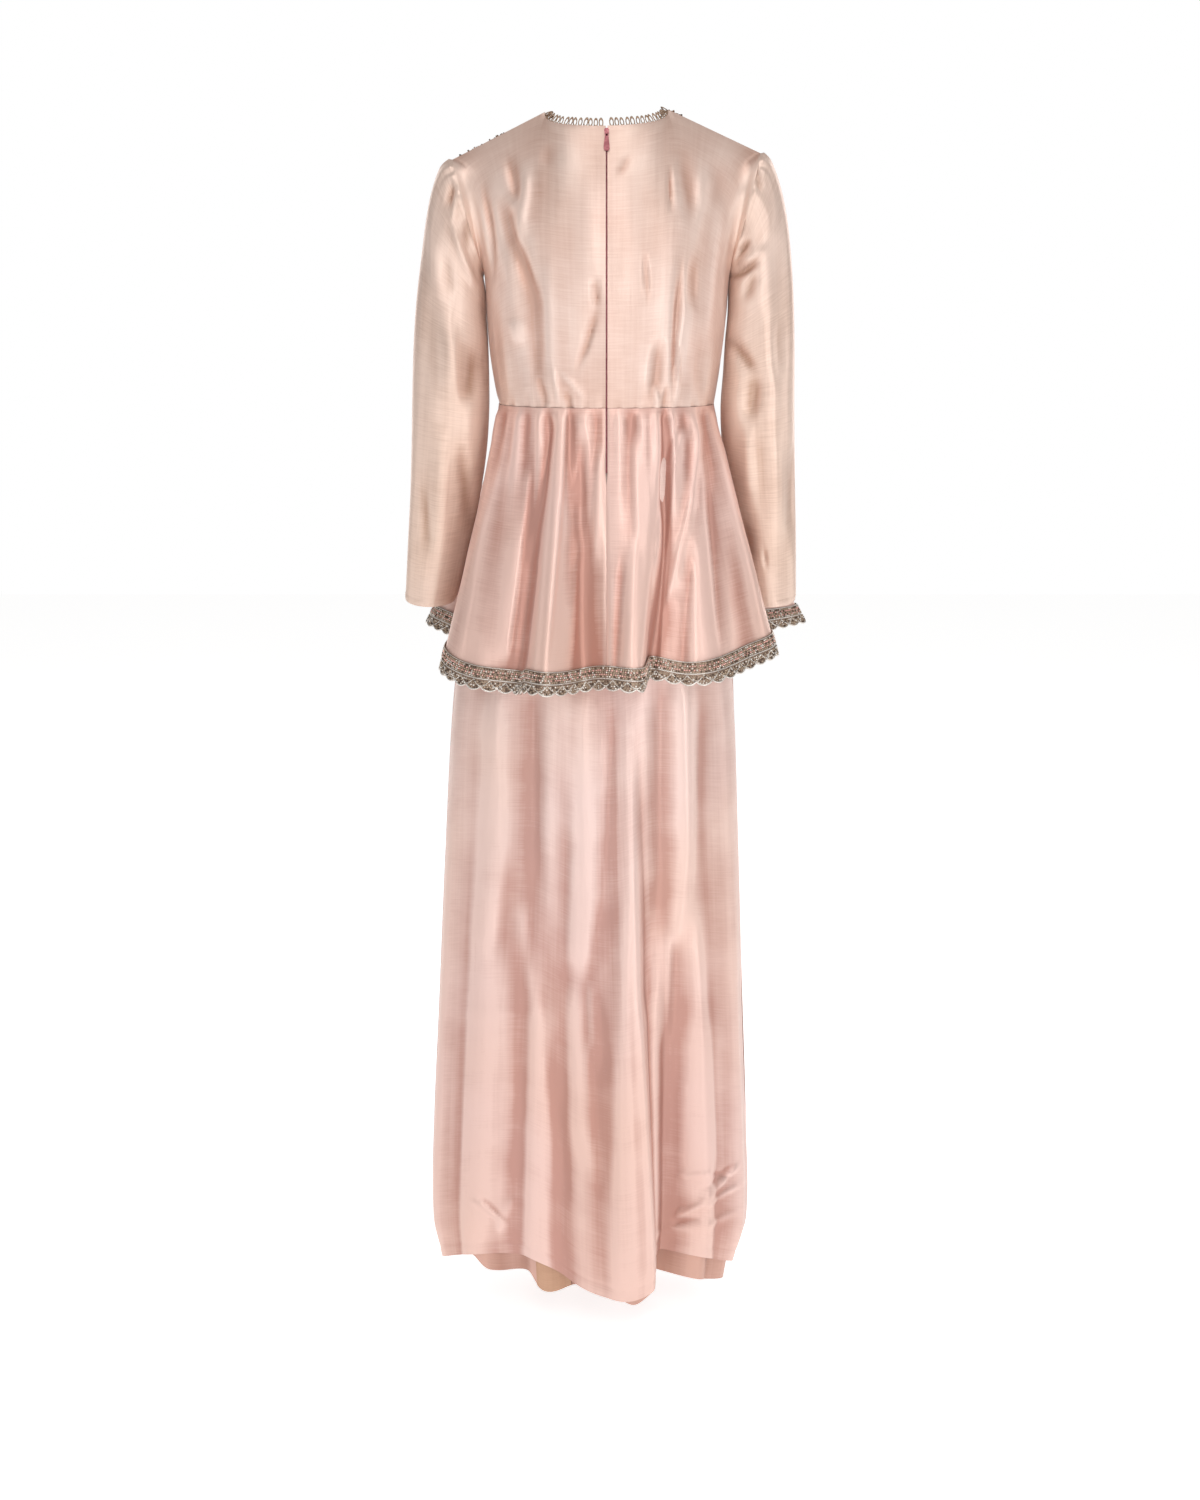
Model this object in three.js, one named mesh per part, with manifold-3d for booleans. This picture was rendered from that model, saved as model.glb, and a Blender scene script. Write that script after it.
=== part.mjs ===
// A back-zipped peplum top and a draped dhoti skirt, in silk, held in the hollow form of their wearer.
// Millimetres, +Z up. The origin is midway between the shoulder seams, where the wearer's shoulders
// carry the top. -Y is the wearer's back, where the zip is, and +X is the wearer's right.
//
// Every cloth piece is a thin wall on a grid of points. Angles run round the body from the back's
// centre line, in degrees: 0 is the back, 90 the wearer's right side, 180 the front, -90 the left side.
import * as THREE from "three";
import { mergeVertices } from "three/addons/utils/BufferGeometryUtils.js";
import Module from "manifold-3d";

// ---- driving dimensions ----
const CLOTH = 1.5; // wall of the silk, with its turned seams
const SEAM_GAP = 0.4; // between two pieces that are sewn edge to edge
const WAIST_Z = -302; // waist seam, where the peplum joins the bodice
const SIDE = 90; // angle of the side seams

const NECK = { halfWidth: 76, backY: -62, backZ: 37, sideY: -12, sideZ: 57, frontY: 74, frontZ: -42 };
const SHOULDER_TIP = { x: 191, z: 2.5 };
const UNDERARM = { x: 153, z: -140 };
const ARMHOLE_DEPTH = { back: 50, front: 44 };
const SHOULDER_TILT = 0.02; // the wearer's right shoulder stands a little higher

const LOOP = { pitch: 6.4, height: 10, notch: 4.5, thickness: 1.4, upright: 0.8 }; // cord loops round the neck
const TRIM = { above: 14, below: 12.5, scallop: 17, notch: 5, thickness: 1.4, gap: 0.8 };
const ZIP = { slit: 1.2, topZ: 35, endZ: -381, tapeWidth: 22, tapeThickness: 0.8, tapeGap: 0.6 };
const SLIDER = { bridgeZ: 26, length: 11, width: 6, plate: 1.4, bridgeWidth: 1.5, bridgeInner: 1.3, bridgeOuter: 2.3 };
const PULL = { length: 24, narrow: 4.6, wide: 7.4, thickness: 1.2, bar: 0.65, eyeWidth: 2.6, eyeLength: 3.4, clearance: 0.5 };

const WAISTBAND = { top: -292, bottom: -326, thickness: 2 };
const UNDERSKIRT = { inset: 2.1, hemInset: 9 };
const OVERLAP_LIFT = 4.2; // the front panel that lies over the other stands this far out

// ---- short tables ----
// Torso of the top: half width, and how far the back and the front stand from the middle.
const TORSO = [
  { z: -302, halfWidth: 136, back: 98, front: 98 },
  { z: -250, halfWidth: 144, back: 106, front: 110 },
  { z: -190, halfWidth: 150, back: 112, front: 126 },
  { z: -140, halfWidth: 152.5, back: 114, front: 121 },
  { z: -80, halfWidth: 158, back: 113, front: 109 },
  { z: -20, halfWidth: 160, back: 108, front: 97 },
  { z: 60, halfWidth: 160, back: 100, front: 86 },
];
const TORSO_ROUND = 2.3; // 2 is an ellipse, more is squarer

// Columns of a half bodice panel, from its centre line to its side seam.
const BODICE_COLUMNS = [
  { edge: "neck", cells: 4, from: 0, to: 30 },
  { edge: "shoulder", cells: 3, from: 30, to: 57 },
  { edge: "armhole", cells: 5, from: 57, to: 90 },
];
const BODICE_ROWS = 11;

// Sleeve rings: the outer and the inner line of the right sleeve, then how far the left sleeve's lines
// stand out beyond them, and the ring's middle and half depths.
const SLEEVE = [
  { outX: 205, outZ: -8, inX: 155, inZ: -147, leftOut: 1, leftIn: 0, y: 0, back: 50, front: 45, lean: 0 },
  { outX: 217, outZ: -38, inX: 156, inZ: -157, leftOut: 1, leftIn: 0, y: 0, back: 49, front: 46, lean: 0 },
  { outX: 225, outZ: -76, inX: 156.5, inZ: -171, leftOut: 1, leftIn: 0, y: 1, back: 48, front: 46, lean: 0 },
  { outX: 230, outZ: -122, inX: 156, inZ: -193, leftOut: 2, leftIn: 0, y: 2, back: 47, front: 46, lean: 0 },
  { outX: 234, outZ: -175, inX: 153.5, inZ: -224, leftOut: 4, leftIn: 0, y: 3, back: 47, front: 46, lean: 0 },
  { outX: 237, outZ: -232, inX: 149, inZ: -264, leftOut: 5, leftIn: 1, y: 4, back: 48, front: 46, lean: 0.02 },
  { outX: 239, outZ: -292, inX: 145.5, inZ: -308, leftOut: 6, leftIn: 2, y: 7, back: 48, front: 46, lean: 0.06 },
  { outX: 241, outZ: -350, inX: 149, inZ: -358, leftOut: 7, leftIn: 3, y: 13, back: 45, front: 44, lean: 0.12 },
  { outX: 243, outZ: -412, inX: 158, inZ: -416, leftOut: 9, leftIn: 4, y: 22, back: 42, front: 41, lean: 0.18 },
  { outX: 245, outZ: -476, inX: 169, inZ: -478, leftOut: 12, leftIn: 7, y: 33, back: 38, front: 37, lean: 0.22 },
  { outX: 246, outZ: -540, inX: 180, inZ: -540, leftOut: 15, leftIn: 11, y: 44, back: 34, front: 33, lean: 0.24 },
  { outX: 246, outZ: -556, inX: 182, inZ: -556, leftOut: 15, leftIn: 14, y: 47, back: 33, front: 33, lean: 0.24 },
];
const SLEEVE_SIDES = 16;

// Flutes of the peplum at its hem: angle, distance from the middle, and how far the flute leans at the waist.
const FLUTES = [
  { angle: -180, reach: 172, lean: 0 },
  { angle: -166, reach: 197, lean: 0 },
  { angle: -151, reach: 184, lean: 0 },
  { angle: -137, reach: 214, lean: 0 },
  { angle: -118, reach: 262, lean: -3 },
  { angle: -104, reach: 202, lean: 0 },
  { angle: -90, reach: 199, lean: 0 },
  { angle: -74, reach: 214, lean: 0 },
  { angle: -56, reach: 202, lean: 0 },
  { angle: -40, reach: 172, lean: 6 },
  { angle: -21, reach: 216, lean: -1 },
  { angle: -10, reach: 168, lean: -2 },
  { angle: 3, reach: 190, lean: 0 },
  { angle: 12, reach: 199, lean: 8 },
  { angle: 21, reach: 156, lean: 17 },
  { angle: 38, reach: 196, lean: 6 },
  { angle: 58, reach: 205, lean: 0 },
  { angle: 75, reach: 220, lean: 0 },
  { angle: 91, reach: 182, lean: 0 },
  { angle: 104, reach: 180, lean: 0 },
  { angle: 110, reach: 197, lean: 0 },
  { angle: 119, reach: 298, lean: 2 },
  { angle: 131, reach: 214, lean: 0 },
  { angle: 146, reach: 182, lean: 0 },
  { angle: 162, reach: 200, lean: 0 },
  { angle: 180, reach: 172, lean: 0 },
];
// The peplum's hem hangs lower at the back than at the front.
const PEPLUM_HEM = [
  { angle: -180, z: -592 },
  { angle: -118, z: -588 },
  { angle: -90, z: -612 },
  { angle: -74, z: -624 },
  { angle: -54, z: -636 },
  { angle: -38, z: -639 },
  { angle: -28, z: -630 },
  { angle: -11, z: -631 },
  { angle: 0, z: -625 },
  { angle: 12, z: -626 },
  { angle: 20, z: -619 },
  { angle: 34, z: -625 },
  { angle: 52, z: -616 },
  { angle: 75, z: -602 },
  { angle: 95, z: -600 },
  { angle: 119, z: -592 },
  { angle: 180, z: -592 },
];
const PEPLUM_ROWS = 9;
const PEPLUM_STEP = 4.5; // degrees between columns

// Skirt outline: how far the wearer's left, right, back and front stand from the middle.
const SKIRT = [
  { z: -290, left: 132, right: 132, back: 94.6, front: 94 },
  { z: -326, left: 133, right: 133, back: 94.6, front: 94 },
  { z: -380, left: 146, right: 141, back: 106, front: 102 },
  { z: -480, left: 166, right: 152, back: 115, front: 108 },
  { z: -600, left: 187, right: 160, back: 118, front: 114 },
  { z: -700, left: 199, right: 165, back: 117, front: 119 },
  { z: -900, left: 211, right: 173, back: 114, front: 126 },
  { z: -1100, left: 221, right: 181, back: 112, front: 131 },
  { z: -1250, left: 229, right: 187, back: 110, front: 134 },
  { z: -1370, left: 232, right: 190, back: 108, front: 136 },
  { z: -1480, left: 222, right: 178, back: 104, front: 132 },
];
const SKIRT_ROUND = 2.2;
// Folds of the skirt. Each runs from an angle at the top to one at the hem; depth is outwards at the hem,
// and spread gives how far the fold eases off on its left and on its right, in degrees.
const SKIRT_FOLDS = [
  { name: "great flute", top: 4, hem: 11, spreadLeft: 27, spreadRight: 6.5, depth: 52, start: -620, end: -1446 },
  { name: "hollow right of it", top: 26, hem: 25, spreadLeft: 8, spreadRight: 14, depth: -20, start: -760, end: -1446 },
  { name: "back left", top: -16, hem: -20, spreadLeft: 9, spreadRight: 8, depth: 9, start: -420, end: -1240 },
  { name: "back left side", top: -42, hem: -47, spreadLeft: 11, spreadRight: 10, depth: 10, start: -420, end: -1446 },
  { name: "left side", top: -72, hem: -76, spreadLeft: 12, spreadRight: 10, depth: 8, start: -520, end: -1446 },
  { name: "back right", top: 34, hem: 40, spreadLeft: 9, spreadRight: 10, depth: 10, start: -420, end: -1446 },
  { name: "right side", top: 62, hem: 66, spreadLeft: 11, spreadRight: 12, depth: 9, start: -480, end: -1446 },
  { name: "front right", top: 112, hem: 116, spreadLeft: 12, spreadRight: 12, depth: 12, start: -420, end: -1446 },
  { name: "front left", top: -112, hem: -118, spreadLeft: 12, spreadRight: 12, depth: 12, start: -420, end: -1446 },
];
// Pleats of the dhoti drape, which fan out from the middle of the front waist.
const PLEATS = { count: 7, middle: 180, topSpan: 32, hemSpan: 105, depth: 17, start: -345, full: -950 };
const SKIRT_HEM = [
  { angle: -90, z: -1444 },
  { angle: -76, z: -1436 },
  { angle: -60, z: -1423 },
  { angle: -44, z: -1411 },
  { angle: -28, z: -1405 },
  { angle: -20, z: -1410 },
  { angle: -12, z: -1430 },
  { angle: -4, z: -1444 },
  { angle: 4, z: -1449 },
  { angle: 10, z: -1438 },
  { angle: 15, z: -1420 },
  { angle: 20, z: -1404 },
  { angle: 34, z: -1409 },
  { angle: 55, z: -1427 },
  { angle: 70, z: -1438 },
  { angle: 90, z: -1449 },
];
// Columns of the back panel, by their angle at the hem. They lean to follow the great flute.
const SKIRT_BACK_COLUMNS = [
  { from: -90, to: -16, cells: 12 },
  { from: -16, to: 6, cells: 5 },
  { from: 6, to: 20, cells: 7 },
  { from: 20, to: 90, cells: 10 },
];
const FLUTE_LEAN = { angle: 14, spread: 34, top: -7 };
const SKIRT_FRONT_STEP = PLEATS.hemSpan / PLEATS.count / 4;
const SKIRT_ROWS = 11;
// The wearer's left front laps over the right one. Each hem rises in a curve to its free edge.
const SKIRT_OVER = { from: 157.5, to: 270, sideHem: -1444, edgeHem: -1120, rise: 2.4, lift: OVERLAP_LIFT };
const SKIRT_UNDER = { from: 90, to: 195, sideHem: -1449, edgeHem: -1120, rise: 2.4, lift: 0 };
const UNDERSKIRT_HEM = [
  { angle: -180, z: -1458 },
  { angle: -90, z: -1440 },
  { angle: -62, z: -1419 },
  { angle: -48, z: -1416 },
  { angle: -42, z: -1434 },
  { angle: -26, z: -1430 },
  { angle: -20, z: -1453 },
  { angle: -16, z: -1456 },
  { angle: -8, z: -1443 },
  { angle: -2, z: -1441 },
  { angle: 3, z: -1450 },
  { angle: 7, z: -1456 },
  { angle: 11, z: -1442 },
  { angle: 15, z: -1427 },
  { angle: 27, z: -1436 },
  { angle: 40, z: -1446 },
  { angle: 62, z: -1459 },
  { angle: 90, z: -1466 },
  { angle: 180, z: -1458 },
];
const UNDERSKIRT_FRONT_STEP = 9;
const UNDERSKIRT_ROWS = 6;

// ---- small maths ----
const radians = THREE.MathUtils.degToRad;
const lerp = THREE.MathUtils.lerp;
const clamp01 = (x) => Math.min(1, Math.max(0, x));
const ease = (a, b, x) => {
  const t = clamp01((x - a) / (b - a));
  return t * t * (3 - 2 * t);
};
const point = (x, y, z) => new THREE.Vector3(x, y, z);
const signedPower = (x, p) => Math.sign(x) * Math.pow(Math.abs(x), p);

// The value of one column of a table at x, on a smooth curve through its rows.
function read(table, key, column, x) {
  const rising = table[table.length - 1][key] > table[0][key];
  const rows = rising ? table : [...table].reverse();
  const last = rows.length - 1;
  if (x <= rows[0][key]) return rows[0][column];
  if (x >= rows[last][key]) return rows[last][column];
  let i = 0;
  while (rows[i + 1][key] < x) i++;
  const slope = (k) => {
    const a = rows[Math.max(0, k - 1)];
    const b = rows[Math.min(last, k + 1)];
    return (b[column] - a[column]) / (b[key] - a[key]);
  };
  const width = rows[i + 1][key] - rows[i][key];
  const t = (x - rows[i][key]) / width;
  const t2 = t * t;
  const t3 = t2 * t;
  return (
    (2 * t3 - 3 * t2 + 1) * rows[i][column] +
    (t3 - 2 * t2 + t) * width * slope(i) +
    (3 * t2 - 2 * t3) * rows[i + 1][column] +
    (t3 - t2) * width * slope(i + 1)
  );
}

// Round the body, an angle of 190 is the same as -170.
const wrapAngle = (a) => ((((a + 180) % 360) + 360) % 360) - 180;
const steps = (from, to, step) => {
  const cells = Math.max(1, Math.round(Math.abs(to - from) / step));
  return Array.from({ length: cells + 1 }, (_, i) => lerp(from, to, i / cells));
};

// ---- the wall: a grid of outer points, thickened inwards ----
// rows[j][i] are the outer points. across(i, j) gives the directions that the wall's thickness must not
// lean into there, so that two walls stay square to each other at a seam.
function inwardDirections(rows, closed, centre, across) {
  const n = rows[0].length;
  const at = (j, i) => {
    const row = rows[Math.min(rows.length - 1, Math.max(0, j))];
    return closed ? row[(i + n) % n] : row[Math.min(n - 1, Math.max(0, i))];
  };
  let agree = 0;
  const normals = rows.map((row, j) =>
    row.map((p, i) => {
      const along = at(j, i + 1).clone().sub(at(j, i - 1));
      const up = at(j + 1, i).clone().sub(at(j - 1, i));
      const normal = along.cross(up).normalize();
      agree += normal.dot(p.clone().sub(centre(p)));
      return normal;
    }),
  );
  const turn = agree > 0 ? -1 : 1;
  return normals.map((row, j) =>
    row.map((normal, i) => {
      const inward = normal.multiplyScalar(turn);
      for (const c of across(i, j)) inward.addScaledVector(c, -inward.dot(c));
      return inward.normalize();
    }),
  );
}

// A cell is cut along its shorter diagonal: from its first corner to its third, or from its second to its fourth.
const fromFirst = (a, b, c, d) => a.distanceToSquared(c) <= b.distanceToSquared(d);

function wallGeometry(rows, inward, thickness, closed) {
  const n = rows[0].length;
  const count = n * rows.length;
  const positions = [];
  for (const row of rows) for (const p of row) positions.push(p.x, p.y, p.z);
  rows.forEach((row, j) =>
    row.forEach((p, i) => {
      const q = p.clone().addScaledVector(inward[j][i], thickness);
      positions.push(q.x, q.y, q.z);
    }),
  );
  const faces = [];
  const quad = (a, b, c, d) => faces.push([a, b, c], [a, c, d]);
  const id = (j, i) => j * n + (i % n);
  const cells = closed ? n : n - 1;
  for (let j = 0; j + 1 < rows.length; j++)
    for (let i = 0; i < cells; i++) {
      const k = (i + 1) % n;
      const [a, b, c, d] = [id(j, i), id(j, i + 1), id(j + 1, i + 1), id(j + 1, i)];
      const first = fromFirst(rows[j][i], rows[j][k], rows[j + 1][k], rows[j + 1][i]);
      const loop = first ? [a, b, c, d] : [b, c, d, a];
      quad(...loop);
      // The inner wall has the same diagonal, turned round.
      quad(...[loop[0], loop[3], loop[2], loop[1]].map((v) => v + count));
    }
  const rim = (a, b) => quad(b, a, a + count, b + count);
  const top = rows.length - 1;
  for (let i = 0; i < cells; i++) {
    rim(id(0, i), id(0, i + 1));
    rim(id(top, i + 1), id(top, i));
  }
  if (!closed)
    for (let j = 0; j < top; j++) {
      rim(id(j + 1, 0), id(j, 0));
      rim(id(j, n - 1), id(j + 1, n - 1));
    }
  const index = faces.flat();
  // Turned over if the faces point inwards.
  let volume = 0;
  const vertex = (k) => point(positions[3 * k], positions[3 * k + 1], positions[3 * k + 2]);
  for (const [a, b, c] of faces) volume += vertex(a).dot(vertex(b).cross(vertex(c)));
  const geometry = new THREE.BufferGeometry();
  geometry.setAttribute("position", new THREE.Float32BufferAttribute(positions, 3));
  geometry.setIndex(volume < 0 ? index.reverse() : index);
  geometry.computeVertexNormals();
  return geometry;
}

// ---- materials ----
const silk = (color) => new THREE.MeshStandardMaterial({ color, roughness: 0.42, metalness: 0.05 });
const MATERIALS = {
  bodice: silk(0xe2bda9),
  sleeve: silk(0xd3b394),
  peplum: silk(0xd79c8b),
  skirt: silk(0xdcaf9c),
  underskirt: silk(0xd3a28d),
  trim: new THREE.MeshStandardMaterial({ color: 0x94826c, roughness: 0.5, metalness: 0.4 }),
  loops: new THREE.MeshStandardMaterial({ color: 0xe6cfb0, roughness: 0.5, metalness: 0.1 }),
  zip: new THREE.MeshStandardMaterial({ color: 0xa8606a, roughness: 0.4, metalness: 0.2 }),
};

const garment = new THREE.Group();
function add(name, geometry, material) {
  const mesh = new THREE.Mesh(geometry, material);
  mesh.name = name;
  garment.add(mesh);
  return mesh;
}

const X = point(1, 0, 0);
const Y = point(0, 1, 0);
const Z = point(0, 0, 1);
const bodyAxis = (p) => point(0, 0, p.z);

// ---- the top: bodice ----
// side is 1 for the wearer's right and -1 for the left; face is "back" or "front".
const facing = (face) => (face === "back" ? -1 : 1);

function torsoPoint(angle, z, face) {
  const a = radians(angle);
  const power = 2 / TORSO_ROUND;
  return point(
    read(TORSO, "z", "halfWidth", z) * Math.pow(Math.sin(a), power),
    facing(face) * read(TORSO, "z", face, z) * Math.pow(Math.max(0, Math.cos(a)), power),
    z,
  );
}

function neckPoint(share, face) {
  const a = radians(90 * share);
  const centre = face === "back" ? { y: NECK.backY, z: NECK.backZ } : { y: NECK.frontY, z: NECK.frontZ };
  const fall = Math.pow(Math.cos(a), face === "back" ? 0.6 : 1.25);
  return point(
    NECK.halfWidth * Math.sin(a),
    lerp(NECK.sideY, centre.y, Math.cos(a)),
    lerp(NECK.sideZ, centre.z, fall),
  );
}

const tip = point(SHOULDER_TIP.x, 0, SHOULDER_TIP.z);
const underarm = point(UNDERARM.x, 0, UNDERARM.z);
const armholeUp = tip.clone().sub(underarm).normalize();
const armholeAcross = point(armholeUp.z, 0, -armholeUp.x); // out of the armhole's plane, towards the arm

// turn 0 is the underarm and 180 the shoulder tip, by way of the back; 360 comes round by the front.
function armholePoint(turn) {
  const a = radians(turn);
  const depth = turn <= 180 ? ARMHOLE_DEPTH.back : ARMHOLE_DEPTH.front;
  return tip
    .clone()
    .add(underarm)
    .multiplyScalar(0.5)
    .addScaledVector(armholeUp, (-Math.cos(a) * tip.distanceTo(underarm)) / 2)
    .addScaledVector(Y, -Math.sin(a) * depth);
}

function topEdgePoint(edge, share, face) {
  if (edge === "neck") return neckPoint(share, face);
  if (edge === "shoulder") return neckPoint(1, face).lerp(tip, share);
  return armholePoint(face === "back" ? 180 * (1 - share) : 180 * (1 + share)).addScaledVector(
    armholeAcross,
    -SEAM_GAP / 2,
  );
}

// One column of a half panel, from the waist seam to the panel's top edge.
const SHOULDER_TURN = radians(75);
const ROWS_CROWD = 1.35; // rows lie closer together towards the shoulder
function bodiceColumn(edge, share, angle, face) {
  const end = topEdgePoint(edge, share, face);
  const foot = WAIST_Z + SEAM_GAP / 2;
  const reach = torsoPoint(angle, end.z, face);
  const zone = Math.max(60, end.z + 160);
  return Array.from({ length: BODICE_ROWS + 1 }, (_, j) => {
    const z = lerp(foot, end.z, 1 - Math.pow(1 - j / BODICE_ROWS, ROWS_CROWD));
    const near = clamp01(1 - (end.z - z) / zone);
    const turn = Math.asin(near * Math.sin(SHOULDER_TURN));
    const share = (1 - Math.cos(turn)) / (1 - Math.cos(SHOULDER_TURN));
    return torsoPoint(angle, z, face).add(end.clone().sub(reach).multiplyScalar(share).setZ(0));
  });
}

// The columns of a half panel, from its centre line to its side seam.
function halfColumns(face) {
  const columns = [];
  BODICE_COLUMNS.forEach(({ edge, cells, from, to }, stretch) => {
    for (let i = stretch ? 1 : 0; i <= cells; i++)
      columns.push({ edge, points: bodiceColumn(edge, i / cells, lerp(from, to, i / cells), face) });
  });
  return columns;
}

const settleShoulder = (p) => p.setZ(p.z + SHOULDER_TILT * p.x * ease(UNDERARM.z, SHOULDER_TIP.z, p.z));
const toRows = (columns) => columns[0].points.map((_, j) => columns.map((c) => c.points[j]));
const mirrorX = (p) => point(-p.x, p.y, p.z);

// The front's edges stand clear of the back's at the side and shoulder seams.
const seamShift = (face) => (facing(face) * SEAM_GAP) / 2;
function shiftedFromSeams(columns, face) {
  const shoulderFrom = BODICE_COLUMNS[0].cells;
  const shoulderTo = shoulderFrom + BODICE_COLUMNS[1].cells;
  columns.forEach(({ points }, i) => {
    if (i === columns.length - 1) points.forEach((p) => (p.y += seamShift(face)));
    else if (i >= shoulderFrom && i <= shoulderTo) points[BODICE_ROWS].y += seamShift(face);
  });
  return columns;
}

function bodiceAcross(columns, centreSeam) {
  const shoulderFrom = BODICE_COLUMNS[0].cells;
  const shoulderTo = shoulderFrom + BODICE_COLUMNS[1].cells;
  const half = shoulderTo + BODICE_COLUMNS[2].cells;
  return (i, j) => {
    const fromCentre = columns.fromCentre(i);
    const side = columns.side(i);
    const list = [];
    if (fromCentre === 0 && centreSeam) list.push(X);
    if (j === 0) list.push(Z);
    if (fromCentre === half) list.push(Y);
    if (j === BODICE_ROWS && fromCentre >= shoulderFrom && fromCentre <= shoulderTo) list.push(Y);
    if (j === BODICE_ROWS && fromCentre >= shoulderTo)
      list.push(side < 0 ? mirrorX(armholeAcross) : armholeAcross);
    return orthogonal(list);
  };
}

// Makes a list of directions square to each other, one after the other.
function orthogonal(list) {
  const done = [];
  for (const direction of list) {
    const d = direction.clone();
    for (const e of done) d.addScaledVector(e, -d.dot(e));
    if (d.length() > 0.05) done.push(d.normalize());
  }
  return done;
}

const panels = {}; // outer points and inward directions that trims are made from

function backBodice(side) {
  const columns = shiftedFromSeams(halfColumns("back"), "back");
  columns[0].points.forEach((p) => (p.x = ZIP.slit / 2));
  const rows = toRows(columns).map((row) => row.map((p) => settleShoulder(side < 0 ? mirrorX(p) : p)));
  const across = bodiceAcross({ fromCentre: (i) => i, side: () => side }, true);
  const inward = inwardDirections(rows, false, bodyAxis, across);
  const name = side < 0 ? "back_bodice_left" : "back_bodice_right";
  panels[name] = { rows, inward };
  add(name, wallGeometry(rows, inward, CLOTH, false), MATERIALS.bodice);
}

function frontBodice() {
  const right = shiftedFromSeams(halfColumns("front"), "front");
  const left = right.slice(1).map(({ points }) => ({ points: points.map(mirrorX) }));
  const half = right.length - 1;
  const rows = toRows([...left.reverse(), ...right]).map((row) => row.map(settleShoulder));
  const across = bodiceAcross(
    { fromCentre: (i) => Math.abs(i - half), side: (i) => Math.sign(i - half) },
    false,
  );
  const inward = inwardDirections(rows, false, bodyAxis, across);
  panels.front_bodice = { rows, inward };
  add("front_bodice", wallGeometry(rows, inward, CLOTH, false), MATERIALS.bodice);
}

// ---- the top: sleeves ----
function sleeve(side) {
  const turns = Array.from({ length: SLEEVE_SIDES }, (_, i) => (360 * i) / SLEEVE_SIDES);
  const rings = [turns.map((turn) => armholePoint(turn).addScaledVector(armholeAcross, SEAM_GAP / 2))];
  for (const ring of SLEEVE) {
    const out = point(ring.outX + (side < 0 ? ring.leftOut : 0), ring.y, ring.outZ);
    const inside = point(ring.inX + (side < 0 ? ring.leftIn : 0), ring.y, ring.inZ);
    const reach = out.clone().sub(inside).multiplyScalar(0.5);
    const middle = out.clone().add(inside).multiplyScalar(0.5);
    rings.push(
      turns.map((turn) => {
        const a = radians(turn);
        const depth = turn <= 180 ? ring.back : ring.front;
        const back = Math.sin(a) * depth;
        return middle
          .clone()
          .addScaledVector(reach, -Math.cos(a))
          .add(point(0, -back, -back * ring.lean));
      }),
    );
  }
  const rows = rings.map((ring) =>
    ring.map((p) => settleShoulder(side > 0 ? p : mirrorX(p))),
  );
  const plane = side < 0 ? mirrorX(armholeAcross) : armholeAcross;
  const middles = rows.map((row) => row.reduce((sum, p) => sum.add(p), point(0, 0, 0)).divideScalar(row.length));
  const nearest = (p) => middles.reduce((best, m) => (m.distanceTo(p) < best.distanceTo(p) ? m : best));
  const inward = inwardDirections(rows, true, nearest, (i, j) => (j === 0 ? [plane] : []));
  add(side < 0 ? "sleeve_left" : "sleeve_right", wallGeometry(rows, inward, CLOTH, true), MATERIALS.sleeve);
}

// ---- the top: peplum ----
function waistPoint(angle, z) {
  const a = radians(angle);
  const p = torsoPoint(Math.abs(angle) > 90 ? 180 - Math.abs(angle) : Math.abs(angle), z, Math.abs(angle) > 90 ? "front" : "back");
  return point(Math.sign(Math.sin(a)) * p.x, p.y, z);
}

function peplumPoint(angle, share) {
  const hemZ = read(PEPLUM_HEM, "angle", "z", angle);
  const waist = waistPoint(angle, WAIST_Z);
  const lean = read(FLUTES, "angle", "lean", angle) * (1 - share);
  const reach = read(FLUTES, "angle", "reach", wrapAngle(angle - lean));
  const a = radians(angle);
  const hem = point(Math.sin(a) * reach, -Math.cos(a) * reach, 0);
  const out = 0.16 * share + 0.84 * Math.pow(share, 1.12);
  return point(
    lerp(waist.x, hem.x, out),
    lerp(waist.y, hem.y, out),
    lerp(WAIST_Z - SEAM_GAP / 2, hemZ, share),
  );
}

function peplumPanel(name, from, to, centreSeam) {
  const angles = steps(from, to, PEPLUM_STEP);
  const last = angles.length - 1;
  const rows = Array.from({ length: PEPLUM_ROWS + 1 }, (_, j) =>
    angles.map((angle, i) => {
      const p = peplumPoint(wrapAngle(angle), j / PEPLUM_ROWS);
      const seam = i === 0 ? 1 : i === last ? -1 : 0;
      // The zip's slit closes to a seam below its end.
      const slit = Math.abs(wrapAngle(angle)) < 1 && p.z > ZIP.endZ - 12;
      const along = point(Math.cos(radians(angle)), Math.sin(radians(angle)), 0);
      return p.addScaledVector(along, (seam * (slit ? ZIP.slit : SEAM_GAP)) / 2);
    }),
  );
  const inward = inwardDirections(rows, false, bodyAxis, (i, j) => {
    const list = [];
    if (j === 0) list.push(Z);
    if (i === 0) list.push(centreSeam === "first" ? X : Y);
    if (i === last) list.push(centreSeam === "last" ? X : Y);
    return list;
  });
  panels[name] = { rows, inward };
  add(name, wallGeometry(rows, inward, CLOTH, false), MATERIALS.peplum);
}

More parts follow.
